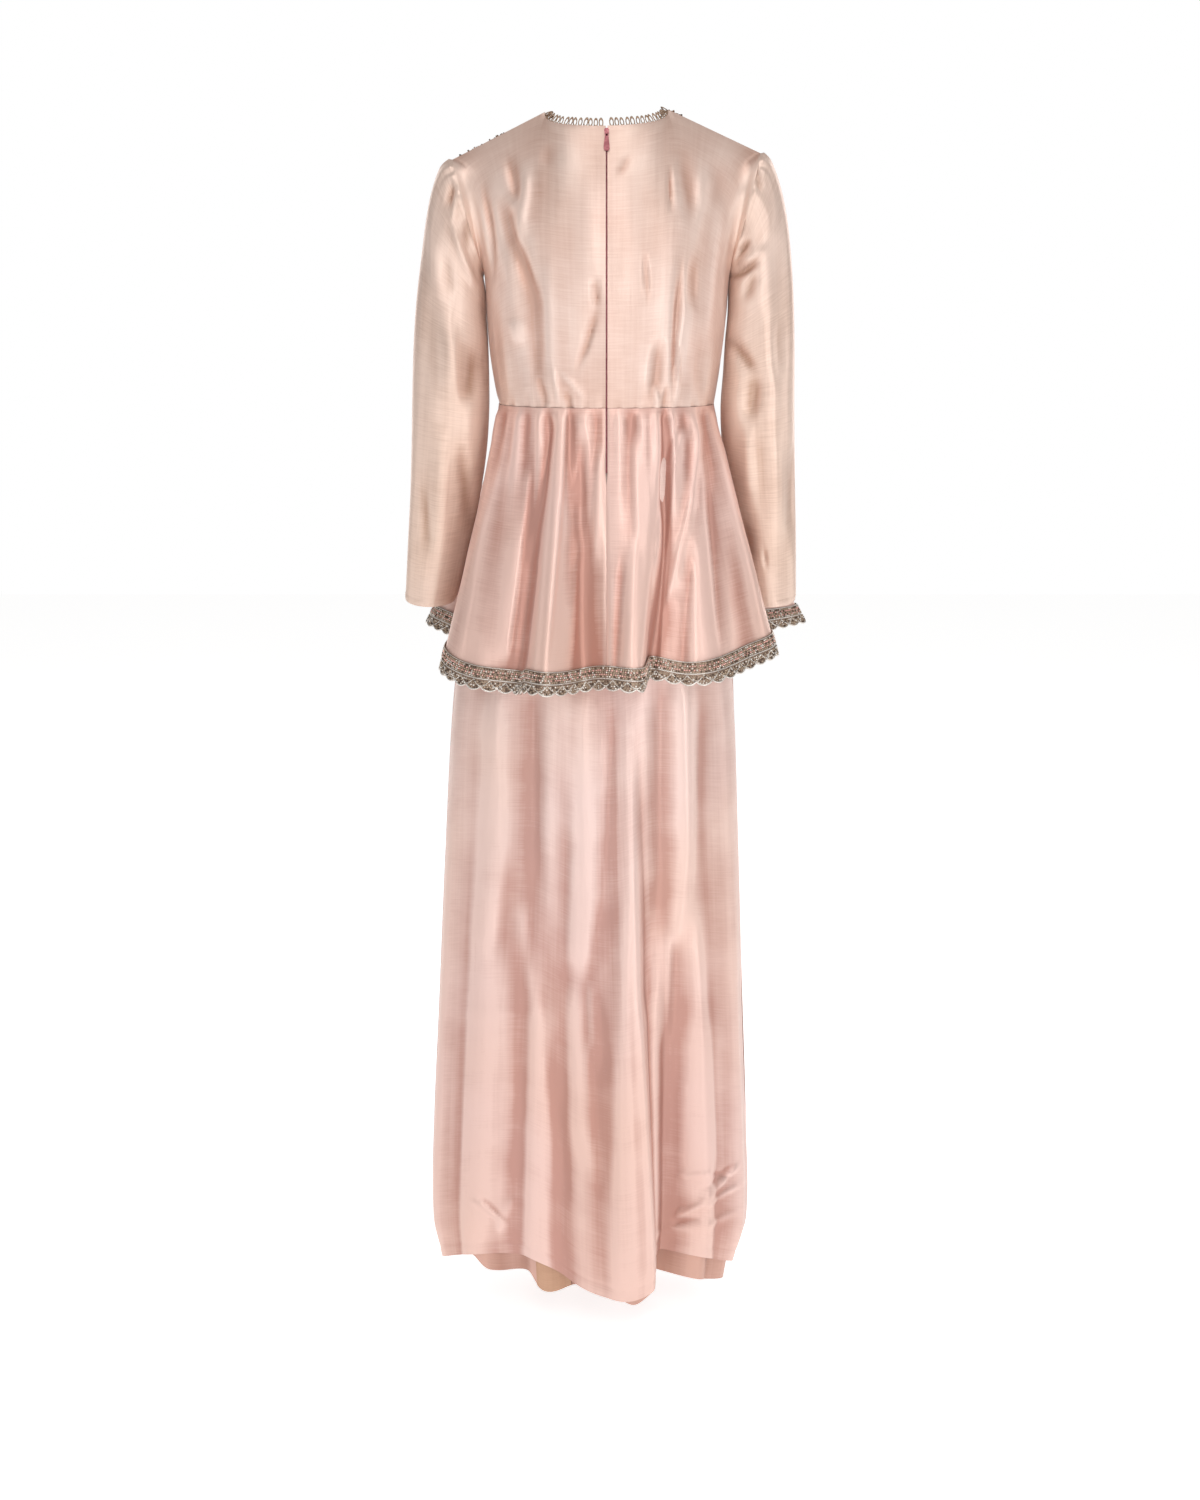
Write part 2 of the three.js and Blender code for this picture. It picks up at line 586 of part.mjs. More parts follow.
// ---- trims, made from a panel's own points moved out ----
// The scalloped band over the peplum's hem.
function hemTrim(name, panelName) {
  const { rows, inward } = panels[panelName];
  const hem = rows[rows.length - 1];
  const above = rows[rows.length - 2];
  const out = inward[rows.length - 1];
  const line = { top: [], bottom: [], inward: [] };
  let travelled = 0;
  for (let i = 0; i + 1 < hem.length; i++) {
    const length = hem[i].distanceTo(hem[i + 1]);
    const cells = Math.max(1, Math.round(length / (TRIM.scallop / 2)));
    for (let k = i ? 1 : 0; k <= cells; k++) {
      const t = k / cells;
      const edge = hem[i].clone().lerp(hem[i + 1], t);
      // The band's upper line lies on the panel's own two faces between these columns.
      const share = TRIM.above / edge.distanceTo(above[i].clone().lerp(above[i + 1], t));
      const [a, b, c, d] = [above[i], above[i + 1], hem[i + 1], hem[i]];
      const blend = (from, to, x, other, y) =>
        from.clone().addScaledVector(to.clone().sub(from), x).addScaledVector(other.clone().sub(from), y);
      let on;
      if (fromFirst(a, b, c, d)) on = t + share <= 1 ? blend(d, c, t, a, share) : blend(b, a, 1 - t, c, 1 - share);
      else on = t <= share ? blend(a, b, t, d, 1 - share) : blend(c, d, 1 - t, b, share);
      const up = on.clone().sub(edge).normalize();
      const away = out[i].clone().lerp(out[i + 1], t).normalize();
      const wave = (travelled + k) % 2 === 0 ? TRIM.notch : 0;
      const lift = -(TRIM.gap + TRIM.thickness);
      line.top.push(on.addScaledVector(away, lift));
      line.bottom.push(edge.clone().addScaledVector(up, wave - TRIM.below).addScaledVector(away, lift));
      line.inward.push(away);
    }
    travelled += cells;
  }
  const directions = [line.inward, line.inward];
  add(name, wallGeometry([line.top, line.bottom], directions, TRIM.thickness, false), MATERIALS.trim);
}

// The row of cord loops that stands on the neck edge.
function neckLoops(name, panelName, fromColumn, toColumn, pitch) {
  const { rows, inward } = panels[panelName];
  const edge = rows[BODICE_ROWS].slice(fromColumn, toColumn + 1);
  const below = rows[BODICE_ROWS - 1].slice(fromColumn, toColumn + 1);
  const out = inward[BODICE_ROWS].slice(fromColumn, toColumn + 1);
  const tangents = edge.map((_, i) =>
    edge[Math.min(edge.length - 1, i + 1)].clone().sub(edge[Math.max(0, i - 1)]).normalize(),
  );
  const line = { top: [], bottom: [], inward: [] };
  let travelled = 0;
  for (let i = 0; i + 1 < edge.length; i++) {
    const cells = Math.max(1, Math.round(edge[i].distanceTo(edge[i + 1]) / (pitch / 2)));
    for (let k = i ? 1 : 0; k <= cells; k++) {
      const t = k / cells;
      const foot = edge[i].clone().lerp(edge[i + 1], t);
      const away = out[i].clone().lerp(out[i + 1], t).normalize();
      const tangent = tangents[i].clone().lerp(tangents[i + 1], t).normalize();
      // Square to the edge and out of the panel, but rather upright.
      const up = tangent.clone().cross(away);
      if (up.dot(foot.clone().sub(below[i])) < 0) up.negate();
      up.addScaledVector(Z, LOOP.upright).addScaledVector(tangent, -LOOP.upright * tangent.z);
      // Two rows meet at the shoulder and at the back, so their ends have no lean towards each other.
      if ((i === 0 && k === 0) || (i + 2 === edge.length && k === cells)) {
        up.y = 0;
        if (Math.abs(foot.x) < 2) up.x = 0;
      }
      up.normalize();
      const height = LOOP.height - ((travelled + k) % 2 === 0 ? LOOP.notch : 0);
      line.bottom.push(foot.clone().addScaledVector(up, SEAM_GAP));
      line.top.push(foot.clone().addScaledVector(up, SEAM_GAP + height));
      line.inward.push(away);
    }
    travelled += cells;
  }
  add(
    name,
    wallGeometry([line.bottom, line.top], [line.inward, line.inward], LOOP.thickness, false),
    MATERIALS.loops,
  );
}

// ---- the cloth of the top ----
backBodice(-1);
backBodice(1);
frontBodice();
sleeve(-1);
sleeve(1);
peplumPanel("peplum_back_left", -SIDE, 0, "last");
peplumPanel("peplum_back_right", 0, SIDE, "first");
peplumPanel("peplum_front", SIDE, 360 - SIDE, "none");

// ---- the zip: tape behind the back slit, slider and pull tab ----
// The cloth's outer point at x on the back, at height z.
function clothAt(x, z) {
  const side = x < 0 ? "left" : "right";
  const panel = panels[(z < WAIST_Z ? "peplum_back_" : "back_bodice_") + side];
  const line = panel.rows.map((row) => {
    for (let i = 0; i + 1 < row.length; i++) {
      const t = (x - row[i].x) / (row[i + 1].x - row[i].x);
      if (t >= 0 && t <= 1) return row[i].clone().lerp(row[i + 1], t);
    }
    return Math.abs(row[0].x - x) < Math.abs(row[row.length - 1].x - x) ? row[0] : row[row.length - 1];
  });
  for (let j = 0; j + 1 < line.length; j++) {
    const t = (z - line[j].z) / (line[j + 1].z - line[j].z);
    if (t >= 0 && t <= 1) return point(x, lerp(line[j].y, line[j + 1].y, t), z);
  }
  const end = line[z < WAIST_Z ? 0 : line.length - 1];
  return point(x, end.y, z);
}
const slitEdge = ZIP.slit / 2;
const backLine = (z) => clothAt(slitEdge, z).setX(0);

function zipTape() {
  const half = ZIP.tapeWidth / 2;
  const seamLine = [...panels.peplum_back_right.rows.slice(1).reverse(), ...panels.back_bodice_right.rows];
  const between = seamLine.map((row) => row[0].z).filter((z) => z > ZIP.endZ + 4 && z < ZIP.topZ - 4);
  const heights = [ZIP.endZ, ...between, ZIP.topZ];
  const cloth = heights.map((z) => [-half, -slitEdge, slitEdge, half].map((x) => clothAt(x, z)));
  const across = (i, j) => (j === 0 || j === cloth.length - 1 ? [X, Z] : [X]);
  const inward = inwardDirections(cloth, false, bodyAxis, across);
  const rows = cloth.map((row, j) =>
    row.map((p, i) => p.addScaledVector(inward[j][i], CLOTH + ZIP.tapeGap)),
  );
  add("zip_tape", wallGeometry(rows, inward, ZIP.tapeThickness, false), MATERIALS.zip);
}

const wasm = await Module();
wasm.setup();
function solid(geometry) {
  const bare = geometry.clone();
  bare.deleteAttribute("normal");
  bare.deleteAttribute("uv");
  const merged = mergeVertices(bare, 1e-4);
  return new wasm.Manifold(
    new wasm.Mesh({
      numProp: 3,
      vertProperties: new Float32Array(merged.attributes.position.array),
      triVerts: new Uint32Array(merged.index.array),
    }),
  );
}
function geometryOf(manifold) {
  const { vertProperties, triVerts } = manifold.getMesh();
  const geometry = new THREE.BufferGeometry();
  geometry.setAttribute("position", new THREE.BufferAttribute(new Float32Array(vertProperties), 3));
  geometry.setIndex(new THREE.BufferAttribute(new Uint32Array(triVerts), 1));
  geometry.computeVertexNormals();
  return geometry;
}

// A frame on the back cloth: x across, y up along the cloth, z out of it.
function clothFrame(z) {
  const here = backLine(z);
  const up = backLine(z + 3).sub(backLine(z - 3)).normalize();
  const out = X.clone().cross(up);
  return { here, up, out, basis: new THREE.Matrix4().makeBasis(X, up, out).setPosition(here) };
}

const onBack = clothFrame(SLIDER.bridgeZ);
const hingeHeight = SEAM_GAP + SLIDER.plate + SLIDER.bridgeInner;
const hinge = onBack.here.clone().addScaledVector(onBack.out, hingeHeight);

// The slider: a long plate with a bridge that the pull tab's bar sits in.
function zipSlider() {
  const w = SLIDER.width / 2;
  const l = SLIDER.length / 2;
  const plate = new THREE.Shape([
    new THREE.Vector2(-w * 0.7, -l),
    new THREE.Vector2(w * 0.7, -l),
    new THREE.Vector2(w * 0.9, -l * 0.2),
    new THREE.Vector2(w, l * 0.5),
    new THREE.Vector2(w * 0.55, l),
    new THREE.Vector2(-w * 0.55, l),
    new THREE.Vector2(-w, l * 0.5),
    new THREE.Vector2(-w * 0.9, -l * 0.2),
  ]);
  const base = new THREE.ExtrudeGeometry(plate, { depth: SLIDER.plate, bevelEnabled: false });
  base.translate(0, l - SLIDER.bridgeOuter * 0.9, SEAM_GAP); // the bridge stands at the plate's lower end
  const arch = new THREE.Shape();
  arch.absarc(0, 0, SLIDER.bridgeOuter, 0, Math.PI * 2, false);
  const eye = new THREE.Path();
  eye.absarc(0, 0, SLIDER.bridgeInner, 0, Math.PI * 2, true);
  arch.holes.push(eye);
  const bridge = new THREE.ExtrudeGeometry(arch, { depth: SLIDER.bridgeWidth, bevelEnabled: false, curveSegments: 8 })
    .translate(0, 0, -SLIDER.bridgeWidth / 2)
    .rotateY(Math.PI / 2)
    .translate(0, 0, hingeHeight);
  // The bridge's ring is cut off level with the plate's underside.
  const room = solid(new THREE.BoxGeometry(20, 20, 20).translate(0, 0, 10 + SEAM_GAP + SLIDER.plate / 2));
  const geometry = geometryOf(solid(base).add(solid(bridge).intersect(room)));
  add("zip_slider", geometry.applyMatrix4(onBack.basis), MATERIALS.zip);
}

// The pull tab hangs from the bridge and rests against the cloth.
function zipPull() {
  const low = backLine(hinge.z - PULL.length * 0.96);
  const lowOut = clothFrame(hinge.z - PULL.length * 0.96).out;
  low.addScaledVector(lowOut, PULL.thickness / 2 + PULL.clearance);
  const down = point(0, low.y - hinge.y, low.z - hinge.z).normalize();
  const out = down.clone().cross(X);
  const shape = new THREE.Shape();
  const n = PULL.narrow / 2;
  const w = PULL.wide / 2;
  const l = PULL.length;
  shape.moveTo(-n, PULL.bar);
  shape.lineTo(n, PULL.bar);
  shape.lineTo(n, -PULL.eyeLength);
  shape.bezierCurveTo(n, -l * 0.4, w, -l * 0.5, w, -(l - w));
  shape.absarc(0, -(l - w), w, 0, -Math.PI, true);
  shape.bezierCurveTo(-w, -l * 0.5, -n, -l * 0.4, -n, -PULL.eyeLength);
  shape.closePath();
  const eye = new THREE.Path();
  const e = PULL.eyeWidth / 2;
  eye.moveTo(-e, -PULL.bar);
  eye.lineTo(-e, -PULL.bar - PULL.eyeLength);
  eye.lineTo(e, -PULL.bar - PULL.eyeLength);
  eye.lineTo(e, -PULL.bar);
  eye.closePath();
  shape.holes.push(eye);
  const basis = new THREE.Matrix4().makeBasis(X, down.clone().negate(), out.clone()).setPosition(hinge);
  const geometry = new THREE.ExtrudeGeometry(shape, { depth: PULL.thickness, bevelEnabled: false, curveSegments: 6 })
    .translate(0, 0, -PULL.thickness / 2)
    .applyMatrix4(basis);
  const pull = add("zip_pull", geometryOf(solid(geometry)), MATERIALS.zip);
  pull.userData.hinge = { point: hinge.toArray(), axis: [-1, 0, 0], swing: 145 }; // degrees, away from the cloth
}

// ---- the skirt ----
const skirtTop = WAISTBAND.bottom - SEAM_GAP;
const skirtFoot = SKIRT_FOLDS[0].end;
const fallOf = (z) => clamp01((skirtTop - z) / (skirtTop - skirtFoot));
const bump = (x) => (Math.abs(x) < 1 ? (1 + Math.cos(Math.PI * x)) / 2 : 0);

function foldsAt(angle, z) {
  let push = 0;
  for (const fold of SKIRT_FOLDS) {
    const middle = lerp(fold.top, fold.hem, fallOf(z));
    const off = wrapAngle(angle - middle);
    push += fold.depth * bump(off / (off < 0 ? fold.spreadLeft : fold.spreadRight)) * ease(fold.start, fold.end, z);
  }
  return push;
}

const pleatSpan = (z) => lerp(PLEATS.topSpan, PLEATS.hemSpan, fallOf(z));
function pleatsAt(angle, z) {
  const phase = ((angle - PLEATS.middle) / pleatSpan(z)) * PLEATS.count;
  if (Math.abs(phase) > PLEATS.count / 2) return 0;
  return PLEATS.depth * (0.5 + 0.5 * Math.cos(2 * Math.PI * phase)) * ease(PLEATS.start, PLEATS.full, z);
}

function skirtPoint(angle, z, push) {
  const a = radians(angle);
  const [s, c] = [Math.sin(a), Math.cos(a)];
  const width = read(SKIRT, "z", s < 0 ? "left" : "right", z);
  const depth = read(SKIRT, "z", c < 0 ? "front" : "back", z);
  const power = 2 / SKIRT_ROUND;
  const p = point(width * signedPower(s, power), -depth * signedPower(c, power), z);
  return p.addScaledVector(point(p.x, p.y, 0).normalize(), push);
}

// Columns lean with the folds: the angle that a column of the back or the front has at height z.
const backColumn = (hemAngle, z) =>
  hemAngle + FLUTE_LEAN.top * (1 - fallOf(z)) * bump((hemAngle - FLUTE_LEAN.angle) / FLUTE_LEAN.spread);
function frontColumn(hemAngle, z) {
  const off = hemAngle - PLEATS.middle;
  const half = PLEATS.hemSpan / 2;
  const now = pleatSpan(z) / 2;
  if (Math.abs(off) <= half) return PLEATS.middle + (off * now) / half;
  const past = (Math.abs(off) - half) / (SIDE - half);
  return PLEATS.middle + Math.sign(off) * lerp(now, SIDE, past);
}

function besideSeam(p, angle, way) {
  const a = radians(angle);
  return p.addScaledVector(point(Math.cos(a), Math.sin(a), 0), (way * SEAM_GAP) / 2);
}

const backAngles = SKIRT_BACK_COLUMNS.flatMap(({ from, to, cells }, k) =>
  Array.from({ length: cells + 1 }, (_, i) => lerp(from, to, i / cells)).slice(k ? 1 : 0),
);

function skirtPanel(name, angles, column, hemOf, pushOf, seams) {
  const last = angles.length - 1;
  const rows = Array.from({ length: SKIRT_ROWS + 1 }, (_, j) =>
    angles.map((hemAngle, i) => {
      const z = lerp(skirtTop, hemOf(hemAngle), j / SKIRT_ROWS);
      const angle = column(hemAngle, z);
      const p = skirtPoint(angle, z, pushOf(angle, z));
      const way = i === 0 && seams.first ? 1 : i === last && seams.last ? -1 : 0;
      return besideSeam(p, angle, way);
    }),
  );
  const inward = inwardDirections(rows, false, bodyAxis, (i, j) => {
    const list = [];
    if (j === 0) list.push(Z);
    if ((i === 0 && seams.first) || (i === last && seams.last)) list.push(Y);
    return list;
  });
  panels[name] = { rows, inward };
  add(name, wallGeometry(rows, inward, CLOTH, false), MATERIALS.skirt);
}

function skirtFront(name, lap, seams) {
  const angles = [];
  for (let a = lap.from; a <= lap.to + 1e-6; a += SKIRT_FRONT_STEP) angles.push(a);
  const side = lap.lift ? lap.to : lap.from;
  const edge = lap.lift ? lap.from : lap.to;
  const hemOf = (angle) => {
    const share = (angle - side) / (edge - side);
    return lerp(lap.sideHem, lap.edgeHem, Math.pow(share, lap.rise));
  };
  const pushOf = (angle, z) =>
    foldsAt(angle, z) + pleatsAt(angle, z) + lap.lift * ease(262, 205, angle);
  skirtPanel(name, angles, frontColumn, hemOf, pushOf, seams);
}

function ringRows(angles, heights, at) {
  return heights.map((_, j) => angles.map((angle) => at(angle, j)));
}

function waistband() {
  const angles = steps(-180, 180, 9).slice(0, -1);
  const heights = [WAISTBAND.top, WAISTBAND.bottom];
  const rows = ringRows(angles, heights, (angle, j) => skirtPoint(angle, heights[j], 0));
  const inward = inwardDirections(rows, true, bodyAxis, () => [Z]);
  add("skirt_waistband", wallGeometry(rows, inward, WAISTBAND.thickness, true), MATERIALS.skirt);
}

function underskirt() {
  const front = steps(90, 270, UNDERSKIRT_FRONT_STEP).slice(1, -1);
  const columns = [...backAngles.map((a) => ({ a, at: backColumn })), ...front.map((a) => ({ a, at: (x) => x }))];
  const rows = Array.from({ length: UNDERSKIRT_ROWS + 1 }, (_, j) =>
    columns.map(({ a, at }) => {
      const share = j / UNDERSKIRT_ROWS;
      const z = lerp(skirtTop, read(UNDERSKIRT_HEM, "angle", "z", wrapAngle(a)), share);
      const angle = at(a, z);
      const inset = lerp(UNDERSKIRT.inset, UNDERSKIRT.hemInset, ease(0, 0.3, share));
      return skirtPoint(angle, z, foldsAt(angle, z) - inset);
    }),
  );
  const inward = inwardDirections(rows, true, bodyAxis, (i, j) => (j === 0 ? [Z] : []));
  add("underskirt", wallGeometry(rows, inward, CLOTH, true), MATERIALS.underskirt);
}

// ---- the rest of the top, and the skirt ----
hemTrim("hem_trim_back_left", "peplum_back_left");
hemTrim("hem_trim_back_right", "peplum_back_right");
hemTrim("hem_trim_front", "peplum_front");
neckLoops("neck_loops_back_left", "back_bodice_left", 0, BODICE_COLUMNS[0].cells, LOOP.pitch);
neckLoops("neck_loops_back_right", "back_bodice_right", 0, BODICE_COLUMNS[0].cells, LOOP.pitch);
const frontMiddle = BODICE_COLUMNS.reduce((sum, { cells }) => sum + cells, 0);
neckLoops(
  "neck_loops_front",
  "front_bodice",
  frontMiddle - BODICE_COLUMNS[0].cells,
  frontMiddle + BODICE_COLUMNS[0].cells,
  LOOP.pitch * 2,
);
zipTape();
zipSlider();
zipPull();
waistband();
const bothSeams = { first: true, last: true };
skirtPanel("skirt_back", backAngles, backColumn, (a) => read(SKIRT_HEM, "angle", "z", a), foldsAt, bothSeams);
skirtFront("skirt_front_over", SKIRT_OVER, { first: false, last: true });
skirtFront("skirt_front_under", SKIRT_UNDER, { first: true, last: false });
underskirt();

export default garment;
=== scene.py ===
import bpy
import numpy as np
from math import radians
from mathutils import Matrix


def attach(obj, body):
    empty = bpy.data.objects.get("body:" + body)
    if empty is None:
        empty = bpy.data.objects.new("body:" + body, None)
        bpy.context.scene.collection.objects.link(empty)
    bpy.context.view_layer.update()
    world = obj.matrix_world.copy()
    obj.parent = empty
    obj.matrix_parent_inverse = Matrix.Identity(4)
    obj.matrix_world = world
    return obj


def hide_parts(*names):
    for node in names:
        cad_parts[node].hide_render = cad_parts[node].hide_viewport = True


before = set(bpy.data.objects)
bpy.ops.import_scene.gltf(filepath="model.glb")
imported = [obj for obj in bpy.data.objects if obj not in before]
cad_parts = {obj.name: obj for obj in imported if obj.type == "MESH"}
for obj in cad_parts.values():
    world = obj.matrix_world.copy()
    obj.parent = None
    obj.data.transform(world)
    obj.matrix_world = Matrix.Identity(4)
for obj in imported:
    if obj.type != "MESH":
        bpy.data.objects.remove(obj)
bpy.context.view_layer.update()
bpy.ops.object.select_all(action="DESELECT")


# ---- The bodice: two back panels and a front ----
# Slubbed silk blend, cut to the torso, darted at the back and sewn at the shoulders, the sides and the
# waist. The two back panels stop short of each other at the centre, where the zip is set in between.
TORSO = np.array([  # height, half width, back depth and front depth, in millimetres
    (-302, 136, 98, 98), (-250, 144, 106, 110), (-190, 150, 112, 126), (-140, 152.5, 114, 121),
    (-80, 158, 113, 109), (-20, 160, 108, 97), (60, 160, 100, 86),
])
WAIST = -302
TORSO_ROUND = 2.3  # 2 is an ellipse, more is squarer
SHOULDER_ARC = 75  # degrees that the cloth turns through between the torso and its upper edge
SHOULDER_TIP = np.array((191, 0, 2.5))
UNDERARM = np.array((153, 0, -140))
ZIP_HALF_WIDTH = 1.1  # from the centre to the folded edge of each back panel
ZIP_END = -381
CLOTH_WALL = 0.8
CREASE_LIFT = 1.5  # a crease stands out by its depth times this
CREASE_PAST_END = 0.12  # and fades out this share of its length past each end
WAVE = 6.283  # one full wave, in radians
FOLD_REACH, FOLD_FULL = 0.024, 0.0018  # metres: how far round a place is looked at, and a full ridge's height


def follow(knots, values, x):
    """A smooth curve through a short table of knots and values, held level past its two ends."""
    knots, values = np.asarray(knots, float), np.asarray(values, float)
    before = np.maximum(np.arange(len(knots)) - 1, 0)
    after = np.minimum(np.arange(len(knots)) + 1, len(knots) - 1)
    slope = (values[after] - values[before]) / (knots[after] - knots[before])
    k = np.clip(np.searchsorted(knots, x, side="right") - 1, 0, len(knots) - 2)
    width = knots[k + 1] - knots[k]
    t = np.clip((x - knots[k]) / width, 0, 1)
    return (
        (2 * t**3 - 3 * t**2 + 1) * values[k]
        + (t**3 - 2 * t**2 + t) * width * slope[k]
        + (3 * t**2 - 2 * t**3) * values[k + 1]
        + (t**3 - t**2) * width * slope[k + 1]
    )


def ease(start, end, x):
    t = np.clip((x - start) / (end - start), 0, 1)
    return t * t * (3 - 2 * t)


def torso(angle, z, face):
    a = np.radians(angle)
    half = follow(TORSO[:, 0], TORSO[:, 1], z)
    depth = follow(TORSO[:, 0], TORSO[:, 2 if face < 0 else 3], z)
    cos = np.clip(np.cos(a), 0, 1)
    x, y = half * np.sin(a) ** (2 / TORSO_ROUND), face * depth * cos ** (2 / TORSO_ROUND)
    return np.stack([x, y, z + 0 * a], -1)


def neck_edge(share, face):
    a = np.radians(90 * share)
    low_y, low_z, fall = (-62, 37, 0.6) if face < 0 else (74, -42, 1.25)
    cos = np.clip(np.cos(a), 0, 1)
    return np.stack([76 * np.sin(a), -12 + (low_y + 12) * cos, 57 + (low_z - 57) * cos**fall], -1)


def armhole_edge(turn):
    """Round the armhole: 0 is the underarm and 180 the shoulder tip, by way of the back."""
    a = np.radians(turn)[..., None]
    up = SHOULDER_TIP - UNDERARM
    depth = np.where(a <= np.pi + 1e-9, 50, 44)
    return (SHOULDER_TIP + UNDERARM) / 2 - np.cos(a) * up / 2 - np.sin(a) * depth * np.array((0, 1, 0))


def settle(points):
    """The wearer's right shoulder stands a little higher."""
    points[..., 2] += 0.02 * points[..., 0] * ease(-140, 2.5, points[..., 2])
    return points


def half_bodice(face, neck, shoulder, armhole, rows):
    """A grid of points from the waist up, and from the centre line out to the side seam."""
    ends, angles = [], []
    for edge, cells, start, end in (
        ("neck", neck, 0, 30), ("shoulder", shoulder, 30, 57), ("armhole", armhole, 57, 90),
    ):
        share = np.linspace(0, 1, cells + 1)[0 if edge == "neck" else 1 :]
        angles.append(start + (end - start) * share)
        if edge == "neck":
            ends.append(neck_edge(share, face))
        elif edge == "shoulder":
            side = neck_edge(np.array([1.0]), face)
            ends.append(side + (SHOULDER_TIP - side) * share[:, None])
        else:
            ends.append(armhole_edge(180 * (1 - share) if face < 0 else 180 * (1 + share)))
    top, angle = np.concatenate(ends), np.concatenate(angles)
    t = np.linspace(0, 1, rows + 1)[:, None]
    z = WAIST + 0.1 + (top[:, 2] - WAIST - 0.1) * (1 - (1 - t) ** 1.35)
    near_top = np.clip(1 - (top[:, 2] - z) / np.maximum(60, top[:, 2] + 160), 0, 1)
    turn = np.arcsin(near_top * np.sin(radians(SHOULDER_ARC)))
    share = (1 - np.cos(turn)) / (1 - np.cos(radians(SHOULDER_ARC)))
    points = torso(angle + 0 * z, z, face)
    points[..., :2] += (top - torso(angle, top[:, 2], face))[None, :, :2] * share[..., None]
    return points


def outward_of(points, middle, closed=False):
    """Which way is out of the cloth at each point of a grid, and whether the grid runs right-handed."""
    if closed:
        along = np.roll(points, -1, 1) - np.roll(points, 1, 1)
    else:
        along = np.gradient(points, axis=1)
    normal = np.cross(along, np.gradient(points, axis=0))
    normal /= np.maximum(np.linalg.norm(normal, axis=-1, keepdims=True), 1e-9)
    turn = np.sign((normal * (points - middle)).sum())
    return normal * turn, turn > 0


def body_axis(points):
    """The upright line through the body, at the height of each point."""
    return points * np.array((0, 0, 1))


def out_of_body(points):
    return outward_of(points, body_axis(points))[0]


def crease(points, outward, lines, where=1.0, taper=0.2):
    """Lays soft ridges and troughs in the cloth. Each runs from one place to another as seen from the back
    or the front, bows sideways, and has a soft width on its left and on its right, in millimetres."""
    x, z = points[..., 0], points[..., 2]
    push = np.zeros(x.shape)
    for x1, z1, x2, z2, bow, left, right, depth in lines:
        run = np.hypot(x2 - x1, z2 - z1)
        ax, az = (x2 - x1) / run, (z2 - z1) / run
        t = ((x - x1) * ax + (z - z1) * az) / run
        off = -(x - x1) * az + (z - z1) * ax - bow * 4 * np.clip(t * (1 - t), 0, 1)
        width = np.where(off < 0, left, right)
        ends = ease(-CREASE_PAST_END, taper, t) * (1 - ease(1 - taper, 1 + CREASE_PAST_END, t))
        push += CREASE_LIFT * depth * np.exp(-((off / width) ** 2)) * ends
    return points + outward * (push * where)[..., None]


def drift(points, outward, depth, cells, seed):
    """Slow unevenness, as in any cloth that hangs."""
    u, v = np.meshgrid(np.linspace(0, 1, points.shape[1]), np.linspace(0, 1, points.shape[0]))
    phase = np.random.default_rng(seed).uniform(0, WAVE, (4, 2))
    push = 0 * u
    for k in range(4):
        wander = 1.7 * np.sin(2.1 * v * (k + 1) + phase[k, 1])
        push += np.sin(WAVE * cells * (0.6 + 0.5 * k) * u + wander + phase[k, 0]) / (1 + 0.7 * k)
    rim = ease(0, 0.06, v) * ease(0, 0.06, 1 - v)
    return points + outward * (depth * push * rim)[..., None]


def fold_of(points, middle, closed):
    """How far each place stands out of the cloth round it: near 1 on a ridge, near -1 in a trough."""
    outward = outward_of(points, middle, closed)[0]
    across = np.linalg.norm(np.roll(points, -1, 1) - points, axis=-1)[:, :-1].mean()
    around = points
    for axis, reach in ((1, int(np.clip(round(FOLD_REACH / across), 2, points.shape[1] // 6))), (0, 3)):
        rim = [(reach, reach) if k == axis else (0, 0) for k in range(3)]
        wide = np.pad(around, rim, "wrap" if closed and axis == 1 else "edge")
        steps = [np.take(wide, np.arange(k, k + points.shape[axis]), axis) for k in range(2 * reach + 1)]
        around = sum(steps) / len(steps)
    return np.clip(((points - around) * outward).sum(-1) / FOLD_FULL, -1, 1)


